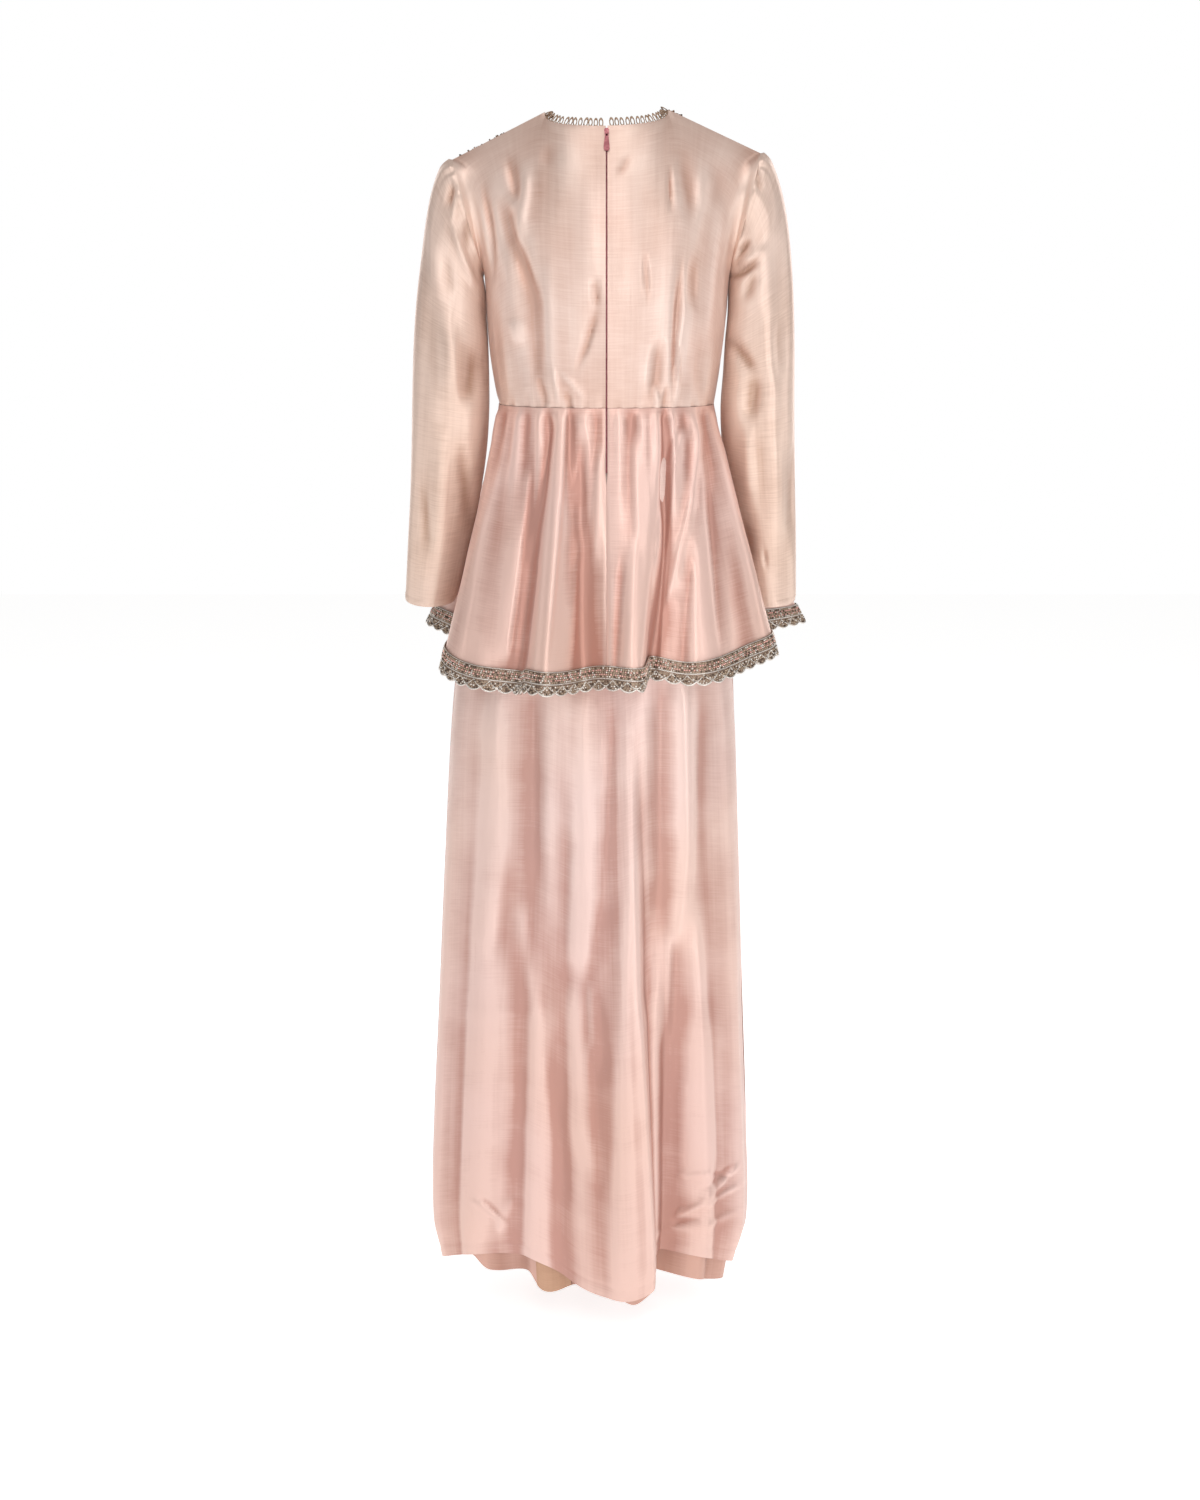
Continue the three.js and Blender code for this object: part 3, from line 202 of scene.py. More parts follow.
def cloth(name, points, middle=None, thickness=CLOTH_WALL, closed=False):
    """Sews a grid of points, in millimetres, into a sheet with a wall, round the body or another middle.
    Its map holds the cloth's own width and length, in metres."""
    middle = (body_axis(points) if middle is None else middle) * 0.001
    points = points * 0.001
    rows, columns = points.shape[:2]
    right_handed = outward_of(points, middle, closed)[1]
    cells = columns if closed else columns - 1
    j, i = np.meshgrid(np.arange(rows - 1), np.arange(cells), indexing="ij")
    k = (i + 1) % columns
    here, after = j * columns, (j + 1) * columns
    corner = np.stack([here + i, here + k, after + k, after + i], -1).reshape(-1, 4)
    across = np.linalg.norm(np.roll(points, -1, 1) - points, axis=-1).mean(0)
    u = np.concatenate([[0], np.cumsum(across)])[: cells + 1]
    v = np.concatenate([[0], np.cumsum(np.linalg.norm(np.diff(points, axis=0), axis=-1).mean(1))])
    place = np.stack([
        np.stack([u[i], v[j]], -1), np.stack([u[i + 1], v[j]], -1),
        np.stack([u[i + 1], v[j + 1]], -1), np.stack([u[i], v[j + 1]], -1),
    ], 2).reshape(-1, 4, 2)
    if not right_handed:
        corner, place = corner[:, ::-1], place[:, ::-1]
    mesh = bpy.data.meshes.new(name)
    mesh.from_pydata(points.reshape(-1, 3).tolist(), [], corner.tolist())
    mesh.uv_layers.new(name="cloth").data.foreach_set("uv", place.reshape(-1).astype(np.float32))
    # Each point's fold height, which the silk turns into painted highlights on ridges and painted shade in
    # troughs.
    fold = fold_of(points, middle, closed).reshape(-1).astype(np.float32)
    mesh.attributes.new("fold", "FLOAT", "POINT").data.foreach_set("value", fold)
    piece = bpy.data.objects.new(name, mesh)
    bpy.context.scene.collection.objects.link(piece)
    bpy.ops.object.select_all(action="DESELECT")
    bpy.context.view_layer.objects.active = piece
    piece.select_set(True)
    bpy.ops.object.modifier_add(type="SOLIDIFY")
    wall = piece.modifiers[-1]
    wall.thickness, wall.offset, wall.use_even_offset = thickness * 0.001, -1, False
    bpy.ops.object.modifier_apply(modifier=wall.name)
    bpy.ops.object.shade_smooth_by_angle(angle=radians(60))
    piece.select_set(False)
    return piece


def sew_on(piece, finish, node=None):
    """Gives a piece its finish and joins it to the garment, in place of a plain node where one is named."""
    piece.data.materials.append(finish)
    if node:
        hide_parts(node)
    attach(piece, "garment")


def silk(name, light, deep, slub=0.3, gloss=0.43, shade=0.26, rosy_below=None):
    """Silk blend: long uneven threads across the cloth, a fine weave, a satin face, and painted light: ridges
    painted paler as highlights and troughs painted darker as shade.
    """
    finish = bpy.data.materials.new(name)
    finish.use_nodes = True
    nodes, links = finish.node_tree.nodes, finish.node_tree.links
    shader = nodes["Principled BSDF"]
    place = nodes.new("ShaderNodeUVMap")
    place.uv_map = "cloth"

    def threads(across, down, detail):
        stretch = nodes.new("ShaderNodeMapping")
        stretch.inputs["Scale"].default_value = (across, down, 1)
        links.new(place.outputs["UV"], stretch.inputs["Vector"])
        noise = nodes.new("ShaderNodeTexNoise")
        noise.inputs["Scale"].default_value = 1
        noise.inputs["Detail"].default_value = detail
        links.new(stretch.outputs["Vector"], noise.inputs["Vector"])
        return noise.outputs["Fac"]

    def combine(operation, a, b):
        node = nodes.new("ShaderNodeMath")
        node.operation = operation
        for socket, value in zip(node.inputs, (a, b)):
            if isinstance(value, (int, float)):
                socket.default_value = value
            else:
                links.new(value, socket)
        return node.outputs[0]

    slubs, cloud, weave = threads(28, 620, 3), threads(9, 11, 3), threads(900, 1500, 1)
    warp = threads(260, 7, 2)
    tone = combine("ADD", combine("MULTIPLY", slubs, slub), combine("MULTIPLY", cloud, 0.5))
    tone = combine("ADD", tone, combine("MULTIPLY", warp, 0.15))
    # Painted light: ridges are painted paler as a painted highlight, and troughs are painted darker as
    # painted shade.
    fold = nodes.new("ShaderNodeAttribute")
    fold.attribute_name = "fold"
    tone = combine("ADD", tone, combine("MULTIPLY", fold.outputs["Fac"], shade))
    blend = nodes.new("ShaderNodeValToRGB")
    middle = (slub + 0.65) / 2
    blend.color_ramp.elements[0].position = middle - 0.22
    blend.color_ramp.elements[0].color = (*deep, 1)
    blend.color_ramp.elements[1].position = middle + 0.2
    blend.color_ramp.elements[1].color = (*light, 1)
    links.new(tone, blend.inputs["Fac"])
    # Shot silk: broad patches turn from rose to gold.
    turn_gold = nodes.new("ShaderNodeMix")
    turn_gold.data_type, turn_gold.blend_type = "RGBA", "MULTIPLY"
    gold = nodes.new("ShaderNodeMapRange")
    gold.inputs["From Min"].default_value, gold.inputs["From Max"].default_value = 0.38, 0.62
    links.new(threads(4.5, 2.6, 2), gold.inputs["Value"])
    links.new(gold.outputs["Result"], turn_gold.inputs["Factor"])
    links.new(blend.outputs["Color"], turn_gold.inputs["A"])
    turn_gold.inputs["B"].default_value = (1.0, 0.975, 0.93, 1)
    colour = turn_gold.outputs["Result"]
    if rosy_below:  # the heights that the cloth turns rosier between
        where = nodes.new("ShaderNodeSeparateXYZ")
        links.new(nodes.new("ShaderNodeTexCoord").outputs["Object"], where.inputs["Vector"])
        height = nodes.new("ShaderNodeMapRange")
        height.inputs["From Min"].default_value, height.inputs["From Max"].default_value = rosy_below
        links.new(where.outputs["Z"], height.inputs["Value"])
        rosy = nodes.new("ShaderNodeMix")
        rosy.data_type, rosy.blend_type = "RGBA", "MULTIPLY"
        links.new(height.outputs["Result"], rosy.inputs["Factor"])
        links.new(colour, rosy.inputs["A"])
        rosy.inputs["B"].default_value = (0.945, 0.86, 0.835, 1)
        colour = rosy.outputs["Result"]
    links.new(colour, shader.inputs["Base Color"])
    bump = nodes.new("ShaderNodeBump")
    bump.inputs["Strength"].default_value = 0.35
    bump.inputs["Distance"].default_value = 0.0003
    links.new(combine("ADD", slubs, combine("MULTIPLY", weave, 0.5)), bump.inputs["Height"])
    # Fine crush lines run down the cloth and break up its highlights.
    crush = nodes.new("ShaderNodeBump")
    crush.inputs["Strength"].default_value = 0.4
    crush.inputs["Distance"].default_value = 0.0016
    links.new(threads(60, 11, 4), crush.inputs["Height"])
    links.new(bump.outputs["Normal"], crush.inputs["Normal"])
    links.new(crush.outputs["Normal"], shader.inputs["Normal"])
    rough = nodes.new("ShaderNodeMapRange")
    rough.inputs["To Min"].default_value = gloss - 0.04
    rough.inputs["To Max"].default_value = gloss + 0.08
    links.new(slubs, rough.inputs["Value"])
    links.new(rough.outputs["Result"], shader.inputs["Roughness"])
    # The satin face spreads a highlight along its length and keeps it narrow across.
    grain = nodes.new("ShaderNodeTangent")
    grain.direction_type, grain.uv_map = "UV_MAP", "cloth"
    links.new(grain.outputs["Tangent"], shader.inputs["Tangent"])
    shader.inputs["Anisotropic"].default_value = 0.65
    shader.inputs["Anisotropic Rotation"].default_value = 0.25
    shader.inputs["Metallic"].default_value = 0.36
    shader.inputs["Specular IOR Level"].default_value = 0.4
    shader.inputs["Specular Tint"].default_value = (1.0, 0.90, 0.84, 1)
    shader.inputs["Sheen Weight"].default_value = 0.15
    shader.inputs["Sheen Roughness"].default_value = 0.35
    shader.inputs["Sheen Tint"].default_value = (1.0, 0.93, 0.9, 1)
    return finish


BODICE_SILK = silk("bodice_silk", (0.785, 0.61, 0.54), (0.57, 0.36, 0.29), shade=0.19)
# Each crease runs from x, z to x, z. Then come its bow, its soft width on the left and on the right, and its
# depth, which is out of the cloth where it is positive.
BACK_LEFT_CREASES = [
    (-84, -111, -81, -296, -3, 13, 10, -3.5), (-107, -94, -94, -291, 2, 17, 13, -4.0),
    (-15, -145, -12, -180, 0, 3, 3, -2), (-12, -180, -35, -253, 2, 4, 3, -2.2),
    (-120, 6, -106, -60, 0, 7, 7, -2.5), (-150, -31, -141, -153, 2, 4, 5, -3),
    (-128, -40, -123, -126, 0, 11, 11, -2.4), (-115, -195, -108, -225, 0, 8, 8, 2.0),
    (-67, -249, -57, -297, 0, 3, 3, 2), (-57, -257, -26, -290, 0, 3, 3, 1.6),
    (-86, -267, -73, -299, 0, 4, 4, -2), (-50, -282, -43, -305, 0, 3, 3, -2),
    (-69, 18, -73, -11, 0, 9, 12, -0.9), (-98, -10, -110, -110, 2, 9, 7, 2.4),
    (-134, -42, -86, -190, 0, 9, 9, -3.2),
]
BACK_RIGHT_CREASES = [
    (77, -11, 79, -66, 0, 2.5, 2.5, -1.6), (92, 6, 113, -90, 0, 11, 11, -2.6),
    (119, -19, 109, -99, 0, 8, 8, 1.6), (92, -123, 83, -291, 0, 6, 3, -3.4),
    (89, -201, 86, -296, 0, 2.5, 3, 2.2), (66, -219, 59, -296, 0, 8, 8, -2.6),
    (107, -114, 105, -185, 0, 8, 7, -2.2), (135, -3, 138, -63, 0, 12, 12, -1.4),
    (46, -111, 50, -173, 0, 3, 3, -1.2), (28, 1, 16, -24, 0, 4, 4, -1.3),
    (59, -272, 64, -305, 0, 3, 3, 1.6), (75, -273, 70, -305, 0, 3, 3, -1.6),
    (116, -205, 119, -294, 0, 13, 12, -2.8),
]
FRONT_CREASES = [
    (-78, -170, -70, -298, 2, 8, 7, -3.2), (80, -176, 72, -298, -2, 7, 8, -3.2),
    (-128, -60, -116, -170, 3, 8, 8, -3), (126, -64, 118, -160, -3, 8, 8, -3),
    (-140, -120, -92, -150, 2, 5, 6, -2), (138, -118, 96, -146, -2, 5, 6, -2),
    (-40, -240, -34, -300, 0, 4, 4, -1.8), (34, -232, 40, -300, 0, 4, 4, -1.8),
    (-14, -120, -8, -210, 2, 7, 7, 1.6), (26, -90, 20, -190, 0, 7, 7, -1.4),
    (-106, -235, -100, -298, 0, 5, 5, 2), (104, -228, 100, -298, 0, 5, 5, 1.8),
]
dressed = {}  # the finished grids, which the trims are made from


def bodice_panel(node, points, lines, seed):
    # The cloth rounds off below the corner between neck and shoulder.
    settled = points.copy()
    for _ in range(45):
        settled[:, 1:-1] = (settled[:, :-2] + 2 * settled[:, 1:-1] + settled[:, 2:]) / 4
    points = points + (settled - points) * ease(0, 0.12, np.linspace(1, 0, len(points)))[:, None, None]
    outward = out_of_body(points)
    points = drift(points, outward, 0.7, 3, seed)
    # The cloth pulls in a little where the waist seam holds it.
    foot = np.exp(-(points[..., 2] - WAIST) / 9)
    pucker = np.sin(points[..., 0] * 0.33) + 0.7 * np.sin(points[..., 0] * 0.61 + 1.3)
    points = points + outward * (0.55 * foot * pucker - 0.5 * foot)[..., None]
    points = settle(crease(points, outward, lines, 1.3, taper=0.42))
    dressed[node] = (points, out_of_body(points))
    piece = cloth(node + "_cloth", points)
    sew_on(piece, BODICE_SILK, node)
    return piece


for way, node, lines in (
    (-1, "back_bodice_left", BACK_LEFT_CREASES), (1, "back_bodice_right", BACK_RIGHT_CREASES),
):
    grid = half_bodice(-1, 26, 22, 34, 100)
    grid[:, 0, 0] = ZIP_HALF_WIDTH
    grid[..., 0] *= way
    piece = bodice_panel(node, grid, lines, 3 + way)
right_half = half_bodice(1, 20, 18, 26, 84)
left_half = right_half[:, :0:-1] * np.array((-1, 1, 1))
front_cloth = bodice_panel("front_bodice", np.concatenate([left_half, right_half], 1), FRONT_CREASES, 9)


# ---- The sleeves ----
# Long straight sleeves of golden silk, eased into the armholes with a little fullness at the cap. They
# bend at the elbow and end in a plain turned cuff.
# Rings down the sleeve: outer x and z, inner x and z, how far the left arm's lines stand out beyond them, the
# middle's y, the back and front depth, and the lean.
SLEEVE = np.array([
    (191, 2.5, 153, -140, 0, 0, 0, 50, 44, 0), (205, -8, 154, -147, 1, 0, 0, 50, 45, 0),
    (217, -38, 153, -157, 1, 0, 0, 49, 46, 0), (225, -76, 152, -171, 1, 0, 1, 48, 46, 0),
    (230, -122, 150.8, -193, 2, 0, 2, 47, 46, 0), (234, -175, 148.3, -224, 4, 0, 3, 47, 46, 0),
    (237, -232, 147, -264, 5, 0, 4, 48, 46, 0.02), (239, -292, 145.5, -308, 6, 2, 7, 48, 46, 0.06),
    (241, -350, 149, -358, 7, 3, 13, 45, 44, 0.12), (243, -412, 158, -416, 9, 4, 22, 42, 41, 0.18),
    (245, -476, 169, -478, 12, 7, 33, 38, 37, 0.22), (246, -540, 180, -540, 15, 11, 44, 34, 33, 0.24),
    (246, -556, 182, -556, 15, 14, 47, 33, 33, 0.24),
])
SLEEVE_SILK = silk("sleeve_silk", (0.775, 0.595, 0.51), (0.49, 0.315, 0.24), slub=0.38, shade=0.16)
LEFT_SLEEVE_CREASES = [
    (-184, -46, -189, -78, 0, 4, 4, 3), (-189, -78, -163, -158, -2, 4, 5, 3),
    (-179, -39, -151, -119, 2, 4, 4, 2.4), (-190, -25, -195, -58, 0, 4, 4, -3),
    (-173, -57, -168, -112, 0, 7, 7, -2.5), (-148, -167, -141, -211, 0, 7, 7, -3.0),
    (-160, -227, -170, -301, 2, 13, 13, -4.0), (-188, -209, -192, -283, 0, 13, 13, 2.5),
    (-205, -112, -191, -172, 0, 10, 10, -2.0), (-236, -395, -228, -496, 0, 11, 9, -2.4),
    (-181, -345, -172, -470, 0, 10, 10, -2.4), (-197, -185, -188, -312, 0, 13, 9, 3.2),
    (-205, -325, -214, -505, 0, 12, 12, 3.4), (-214, -60, -210, -180, 0, 8, 10, 2.2),
]
RIGHT_SLEEVE_CREASES = [
    (192, -119, 156, -144, 2, 4, 5, -4), (197, -108, 162, -130, 0, 7, 7, 3.0),
    (177, -99, 160, -121, 0, 4, 4, -2.5), (186, -133, 168, -175, 0, 7, 9, -3.0),
    (148, -215, 187, -261, -3, 7, 9, -3.5), (187, -261, 177, -326, 0, 13, 12, -3.5),
    (171, -13, 162, -56, 0, 3, 4, -2.4), (183, -7, 191, -46, 0, 4, 4, -2.2),
    (203, -45, 199, -112, 0, 9, 9, 2.0), (164, -69, 157, -99, 0, 7, 9, -2.6),
    (200, -160, 211, -320, 0, 13, 13, 2.0), (175, -445, 184, -515, 0, 10, 10, -2.4),
    (200, -486, 206, -511, 0, 2.5, 2.5, -1.5), (236, -345, 240, -496, 0, 11, 10, -2.2),
    (207, -290, 219, -505, 0, 11, 10, 3), (176, -330, 184, -430, 0, 8, 9, 2.4),
    (212, -190, 216, -280, 0, 9, 9, -2),
]
SLEEVE_FRONT_CREASES = [  # for the right sleeve; the left one's are mirrored
    (158, -170, 196, -140, 3, 5, 6, -3.5), (156, -196, 190, -178, 2, 5, 5, 2.2),
    (152, -292, 200, -278, 3, 6, 7, -4), (154, -312, 206, -312, -2, 6, 6, 2.5),
    (156, -338, 196, -350, -2, 6, 6, -3.2), (206, -60, 212, -150, 0, 7, 7, -2),
    (198, -380, 206, -500, 0, 9, 9, -2.2), (180, -400, 190, -520, 0, 7, 7, 1.6),
]
for way, node, lines in ((-1, "sleeve_left", LEFT_SLEEVE_CREASES), (1, "sleeve_right", RIGHT_SLEEVE_CREASES)):
    ring = np.linspace(0, len(SLEEVE) - 1, 121)[:, None]
    turn = np.radians(np.arange(96) * 3.75)[None, :]
    out_x, out_z, in_x, in_z, extra_out, extra_in, y, back, front, lean = (
        follow(np.arange(len(SLEEVE)), SLEEVE[:, c], ring) for c in range(10)
    )
    if way < 0:
        out_x, in_x = out_x + extra_out, in_x + extra_in
    deep = np.sin(turn) * np.where(turn <= np.pi, back, front)
    grid = np.stack([
        (out_x + in_x) / 2 - np.cos(turn) * (out_x - in_x) / 2,
        y - deep,
        (out_z + in_z) / 2 - np.cos(turn) * (out_z - in_z) / 2 - deep * lean,
    ], -1)
    middle = grid.mean(1, keepdims=True) + 0 * grid
    outward = outward_of(grid, middle, True)[0]
    # Fullness eased in at the cap, which runs out a hand's width down the sleeve.
    cap = np.exp(-ring / 0.9) * ease(0, 0.25, ring) * ease(1.2, 2.2, np.abs(turn - np.pi) * -1 + np.pi)
    grid = grid + outward * (1.7 * cap * (1.1 + np.sin(turn * 17) + 0.6 * np.sin(turn * 29 + 1)))[..., None]
    wave = np.sin(3 * turn + 0.9 * ring + way) + 0.6 * np.sin(5 * turn - 0.7 * ring + 2)
    grid = grid + outward * (0.9 * wave * ease(0, 1.5, ring) * (1 - ease(11, 12, ring)))[..., None]
    # The turned cuff is a little firmer than the sleeve above it.
    grid = grid + outward * (0.5 * ease(11.3, 11.4, ring) + 0 * turn)[..., None]
    grid[..., 0] *= way
    outward[..., 0] *= way
    middle[..., 0] *= way
    facing_back = ease(0.05, 0.4, np.sin(turn)) + 0 * ring
    facing_front = ease(0.05, 0.4, -np.sin(turn)) + 0 * ring
    grid = crease(grid, outward, lines, 1.4 * facing_back, taper=0.42)
    mirrored = [
        (x1 * way, z1, x2 * way, z2, bow * way, left, right, depth)
        for x1, z1, x2, z2, bow, left, right, depth in SLEEVE_FRONT_CREASES
    ]
    grid = settle(crease(grid, outward, mirrored, facing_front))
    piece = cloth(node + "_cloth", grid, middle, closed=True)
    sew_on(piece, SLEEVE_SILK, node)


# ---- The peplum: two back panels and a front ----
# Circular-cut silk, gathered into the waist seam, that hangs in flutes and kicks out past the hands at
# the front corners. The side seams and the centre back seam run down between its panels.
FLUTES = np.array([  # angle round the body from the centre back, distance from the middle, lean at the waist
    (-180, 172, 0), (-166, 197, 0), (-151, 184, 0), (-137, 214, 0), (-118, 262, -3), (-104, 202, 0),
    (-90, 199, 0), (-74, 214, 0), (-56, 202, 0), (-40, 172, 6), (-21, 216, -1), (-10, 168, -2), (3, 190, 0),
    (12, 199, 8), (21, 156, 17), (38, 196, 6), (58, 205, 0), (75, 220, 0), (91, 182, 0), (104, 180, 0),
    (110, 197, 0), (119, 298, 2), (131, 214, 0), (146, 182, 0), (162, 200, 0), (180, 172, 0),
])
PEPLUM_HEM = np.array([  # angle, height of the hem
    (-180, -592), (-118, -588), (-90, -612), (-74, -624), (-54, -636), (-38, -639), (-28, -630),
    (-11, -631), (0, -625), (12, -626), (20, -619), (34, -625), (52, -616), (75, -602), (95, -600),
    (119, -592), (180, -592),
])
WAIST_GATHERS = [  # angle, spread, depth, how far down it runs as a share of the peplum
    (-50, 4, 3.0, 0.35), (-43, 3, -2.5, 0.3), (-34, 2.5, 3.0, 0.28), (-29, 2.5, -3.0, 0.3),
    (-22, 3, 3.2, 0.4), (-16, 2.2, -2.5, 0.3), (-9, 3, 2.2, 0.3), (-4, 2.2, -1.6, 0.25), (5, 2.2, 1.8, 0.3),
    (10, 2.5, -1.8, 0.25), (16, 3, 2.4, 0.4), (23, 3, 3.6, 0.3), (28, 2.2, -4.0, 0.5), (33, 2.5, 4.6, 0.5),
    (41, 3, -2.0, 0.3), (50, 4, 2.6, 0.4), (62, 4, -2.0, 0.3), (74, 5, 2.0, 0.3), (-66, 4, -2.0, 0.3),
    (-78, 5, 2.2, 0.3), (110, 4, 2.4, 0.3), (122, 4, -2.2, 0.3), (134, 4, 2.6, 0.35), (147, 4, -2.2, 0.3),
    (160, 4, 2.4, 0.3), (173, 4, -2, 0.3), (187, 4, 2.4, 0.3), (200, 4, -2.2, 0.3), (213, 4, 2.4, 0.35),
    (226, 4, -2, 0.3), (240, 5, 2.2, 0.3), (254, 4, -1.8, 0.3),
]
PEPLUM_SILK = silk("peplum_silk", (0.81, 0.565, 0.50), (0.53, 0.28, 0.23))
PEPLUM_CREASES = [
    (84, -328, 70, -388, 0, 9, 3, -2.4), (72, -380, 60, -482, 0, 9, 3.5, -2.8),
    (62, -471, 52, -635, 0, 9, 4, -3), (95, -326, 81, -388, 0, 3.5, 9, 1.8),
    (84, -380, 74, -482, 0, 4, 12, 2.2), (75, -471, 65, -635, 0, 4, 16, 2.4),
    (-67, -318, -79, -388, 0, 3, 7, -1.8), (-78, -380, -93, -482, 0, 3.5, 9, -2.4),
    (-92, -471, -111, -624, 0, 4, 12, -2.8), (-96, -376, -109, -482, 0, 14, 5, 2.2),
    (-108, -471, -127, -612, 0, 18, 6, 2.6), (-50, -306, -56, -417, 0, 5, 2.5, 1.6),
    (-56, -411, -74, -612, 0, 8, 3, 1.9), (-130, -376, -157, -482, 0, 10, 10, 2),
    (-156, -471, -176, -600, 0, 12, 10, 2.2), (-28, -328, -32, -459, 0, 6, 6, -1.8),
    (-35, -447, -49, -612, 0, 8, 7, 1.8), (-8, -352, -13, -482, 0, 5, 6, 1.6),
    (31, -328, 41, -459, 0, 7, 7, 1.6), (36, -459, 28, -612, 0, 8, 8, 1.8),
    (19, -482, 11, -624, 0, 5, 6, -1.6), (115, -326, 104, -423, 0, 5, 6, 2.2),
    (106, -411, 75, -541, 0, 5, 7, 2.2), (102, -482, 94, -624, 0, 8, 8, -1.8),
    (142, -340, 173, -482, 0, 7, 7, 1.8), (170, -471, 196, -589, 0, 9, 7, 2),
    (129, -388, 145, -600, 0, 6, 9, -2.2), (-148, -340, -167, -411, 0, 6, 6, -1.5),
]
PEPLUM_FRONT_CREASES = [
    (-92, -330, -120, -560, 2, 7, 7, 2.2), (88, -330, 118, -560, -2, 7, 7, 2.2),
    (-52, -340, -60, -560, 0, 6, 6, -2), (48, -340, 62, -540, 0, 6, 6, -2),
    (-10, -350, -16, -540, 0, 5, 5, 1.6), (20, -330, 24, -470, 0, 5, 5, -1.6),
    (-150, -420, -190, -560, 0, 7, 7, -2), (150, -410, 200, -560, 0, 7, 7, -2),
]


def wrap(angle):
    return (angle + 180) % 360 - 180


def peplum_points(angle, share):
    around = wrap(angle)
    face = np.where(np.abs(around) > 90, 1, -1)
    from_face = np.where(np.abs(around) > 90, 180 - np.abs(around), np.abs(around))
    a = np.radians(around)
    waist_z = WAIST + 0 * a
    waist = np.where((face < 0)[..., None], torso(from_face, waist_z, -1), torso(from_face, waist_z, 1))
    waist[..., 0] *= np.where(np.sin(a) < 0, -1, 1)
    lean = follow(FLUTES[:, 0], FLUTES[:, 2], around) * (1 - share)
    reach = follow(FLUTES[:, 0], FLUTES[:, 1], wrap(around - lean))
    hem = follow(PEPLUM_HEM[:, 0], PEPLUM_HEM[:, 1], around)
    out = 0.16 * share + 0.84 * share**1.12
    return np.stack([
        waist[..., 0] + (np.sin(a) * reach - waist[..., 0]) * out,
        waist[..., 1] + (-np.cos(a) * reach - waist[..., 1]) * out,
        WAIST - 0.2 + (hem - WAIST + 0.2) * share,
    ], -1)


for node, start, end, columns, lines, flat, area in (
    ("peplum_back_left", -90, 0, 170, PEPLUM_CREASES, (0.46, 0.34), 0.093),
    ("peplum_back_right", 0, 90, 170, PEPLUM_CREASES, (0.46, 0.34), 0.093),
    ("peplum_front", 90, 270, 240, PEPLUM_FRONT_CREASES, (0.92, 0.34), 0.185),
):
    angle, share = np.meshgrid(np.linspace(start, end, columns + 1), np.linspace(0, 1, 67))
    grid = peplum_points(angle, share)
    outward = out_of_body(grid)
    push = np.zeros(angle.shape)
    for at, spread, depth, down in WAIST_GATHERS:
        ridge = np.exp(-((wrap(angle - at) / spread) ** 2)) * np.exp(-((share / down) ** 2))
        push += 1.2 * depth * ridge * ease(0, 0.05, share)
    grid = grid + outward * push[..., None]
    grid = drift(crease(grid, outward, lines), outward, 0.8, 2.5, columns + int(start))
    for column, sink in ((0, 0.9), (1, 0.35), (-2, 0.35), (-1, 0.9)):  # the seam allowances turn in
        grid[:, column] -= outward[:, column] * sink
    if start == 0 or end == 0:  # the panels stand apart at the zip, and meet below it
        side = 0 if start == 0 else -1
        apart = 0.1 + (ZIP_HALF_WIDTH - 0.1) * ease(ZIP_END - 14, ZIP_END, grid[:, side, 2])
        grid[:, side, 0] = apart * (1 if start == 0 else -1)
    dressed[node] = (grid, out_of_body(grid))
    piece = cloth(node + "_cloth", grid)
    sew_on(piece, PEPLUM_SILK, node)


# ---- The scalloped trim over the peplum's hem ----
# A bought metal-thread trim: a net band sewn full of small glass and metal beads, with a silver cord along
# its top, its middle and its scalloped edge, and a zigzag of cord in the scallops. Stitched on all round.
def metal(name, dark, light, roughness, rows_of_thread):
    finish = bpy.data.materials.new(name)
    finish.use_nodes = True
    nodes, links = finish.node_tree.nodes, finish.node_tree.links
    shader = nodes["Principled BSDF"]
    coords = nodes.new("ShaderNodeTexCoord")
    noise = nodes.new("ShaderNodeTexNoise")
    noise.inputs["Scale"].default_value = rows_of_thread
    noise.inputs["Detail"].default_value = 3
    links.new(coords.outputs["Object"], noise.inputs["Vector"])
    blend = nodes.new("ShaderNodeValToRGB")
    blend.color_ramp.elements[0].position, blend.color_ramp.elements[1].position = 0.4, 0.62
    blend.color_ramp.elements[0].color, blend.color_ramp.elements[1].color = (*dark, 1), (*light, 1)
    links.new(noise.outputs["Fac"], blend.inputs["Fac"])
    links.new(blend.outputs["Color"], shader.inputs["Base Color"])
    bump = nodes.new("ShaderNodeBump")
    bump.inputs["Strength"].default_value, bump.inputs["Distance"].default_value = 0.5, 0.0003
    links.new(noise.outputs["Fac"], bump.inputs["Height"])
    links.new(bump.outputs["Normal"], shader.inputs["Normal"])
    shader.inputs["Metallic"].default_value = 0.8
    shader.inputs["Roughness"].default_value = roughness
    return finish


def tube(path, outward, radius, sides=5):
    """A cord along a path that lies on cloth, in millimetres, closed at both ends."""
    tangent = np.gradient(path, axis=0)
    tangent /= np.linalg.norm(tangent, axis=-1, keepdims=True)
    beside = np.cross(tangent, outward)
    beside /= np.linalg.norm(beside, axis=-1, keepdims=True)
    over = np.cross(beside, tangent)
    a = np.arange(sides) * 2 * np.pi / sides
    ring = np.cos(a)[:, None] * beside[:, None] + np.sin(a)[:, None] * over[:, None]
    points = path[:, None] + radius * ring
    rows = len(path)
    faces = []
    for j in range(rows - 1):
        for i in range(sides):
            k = (i + 1) % sides
            faces.append((j * sides + i, (j + 1) * sides + i, (j + 1) * sides + k, j * sides + k))
    faces += [tuple(range(sides)), tuple(range((rows - 1) * sides, rows * sides))[::-1]]
    return points.reshape(-1, 3), faces


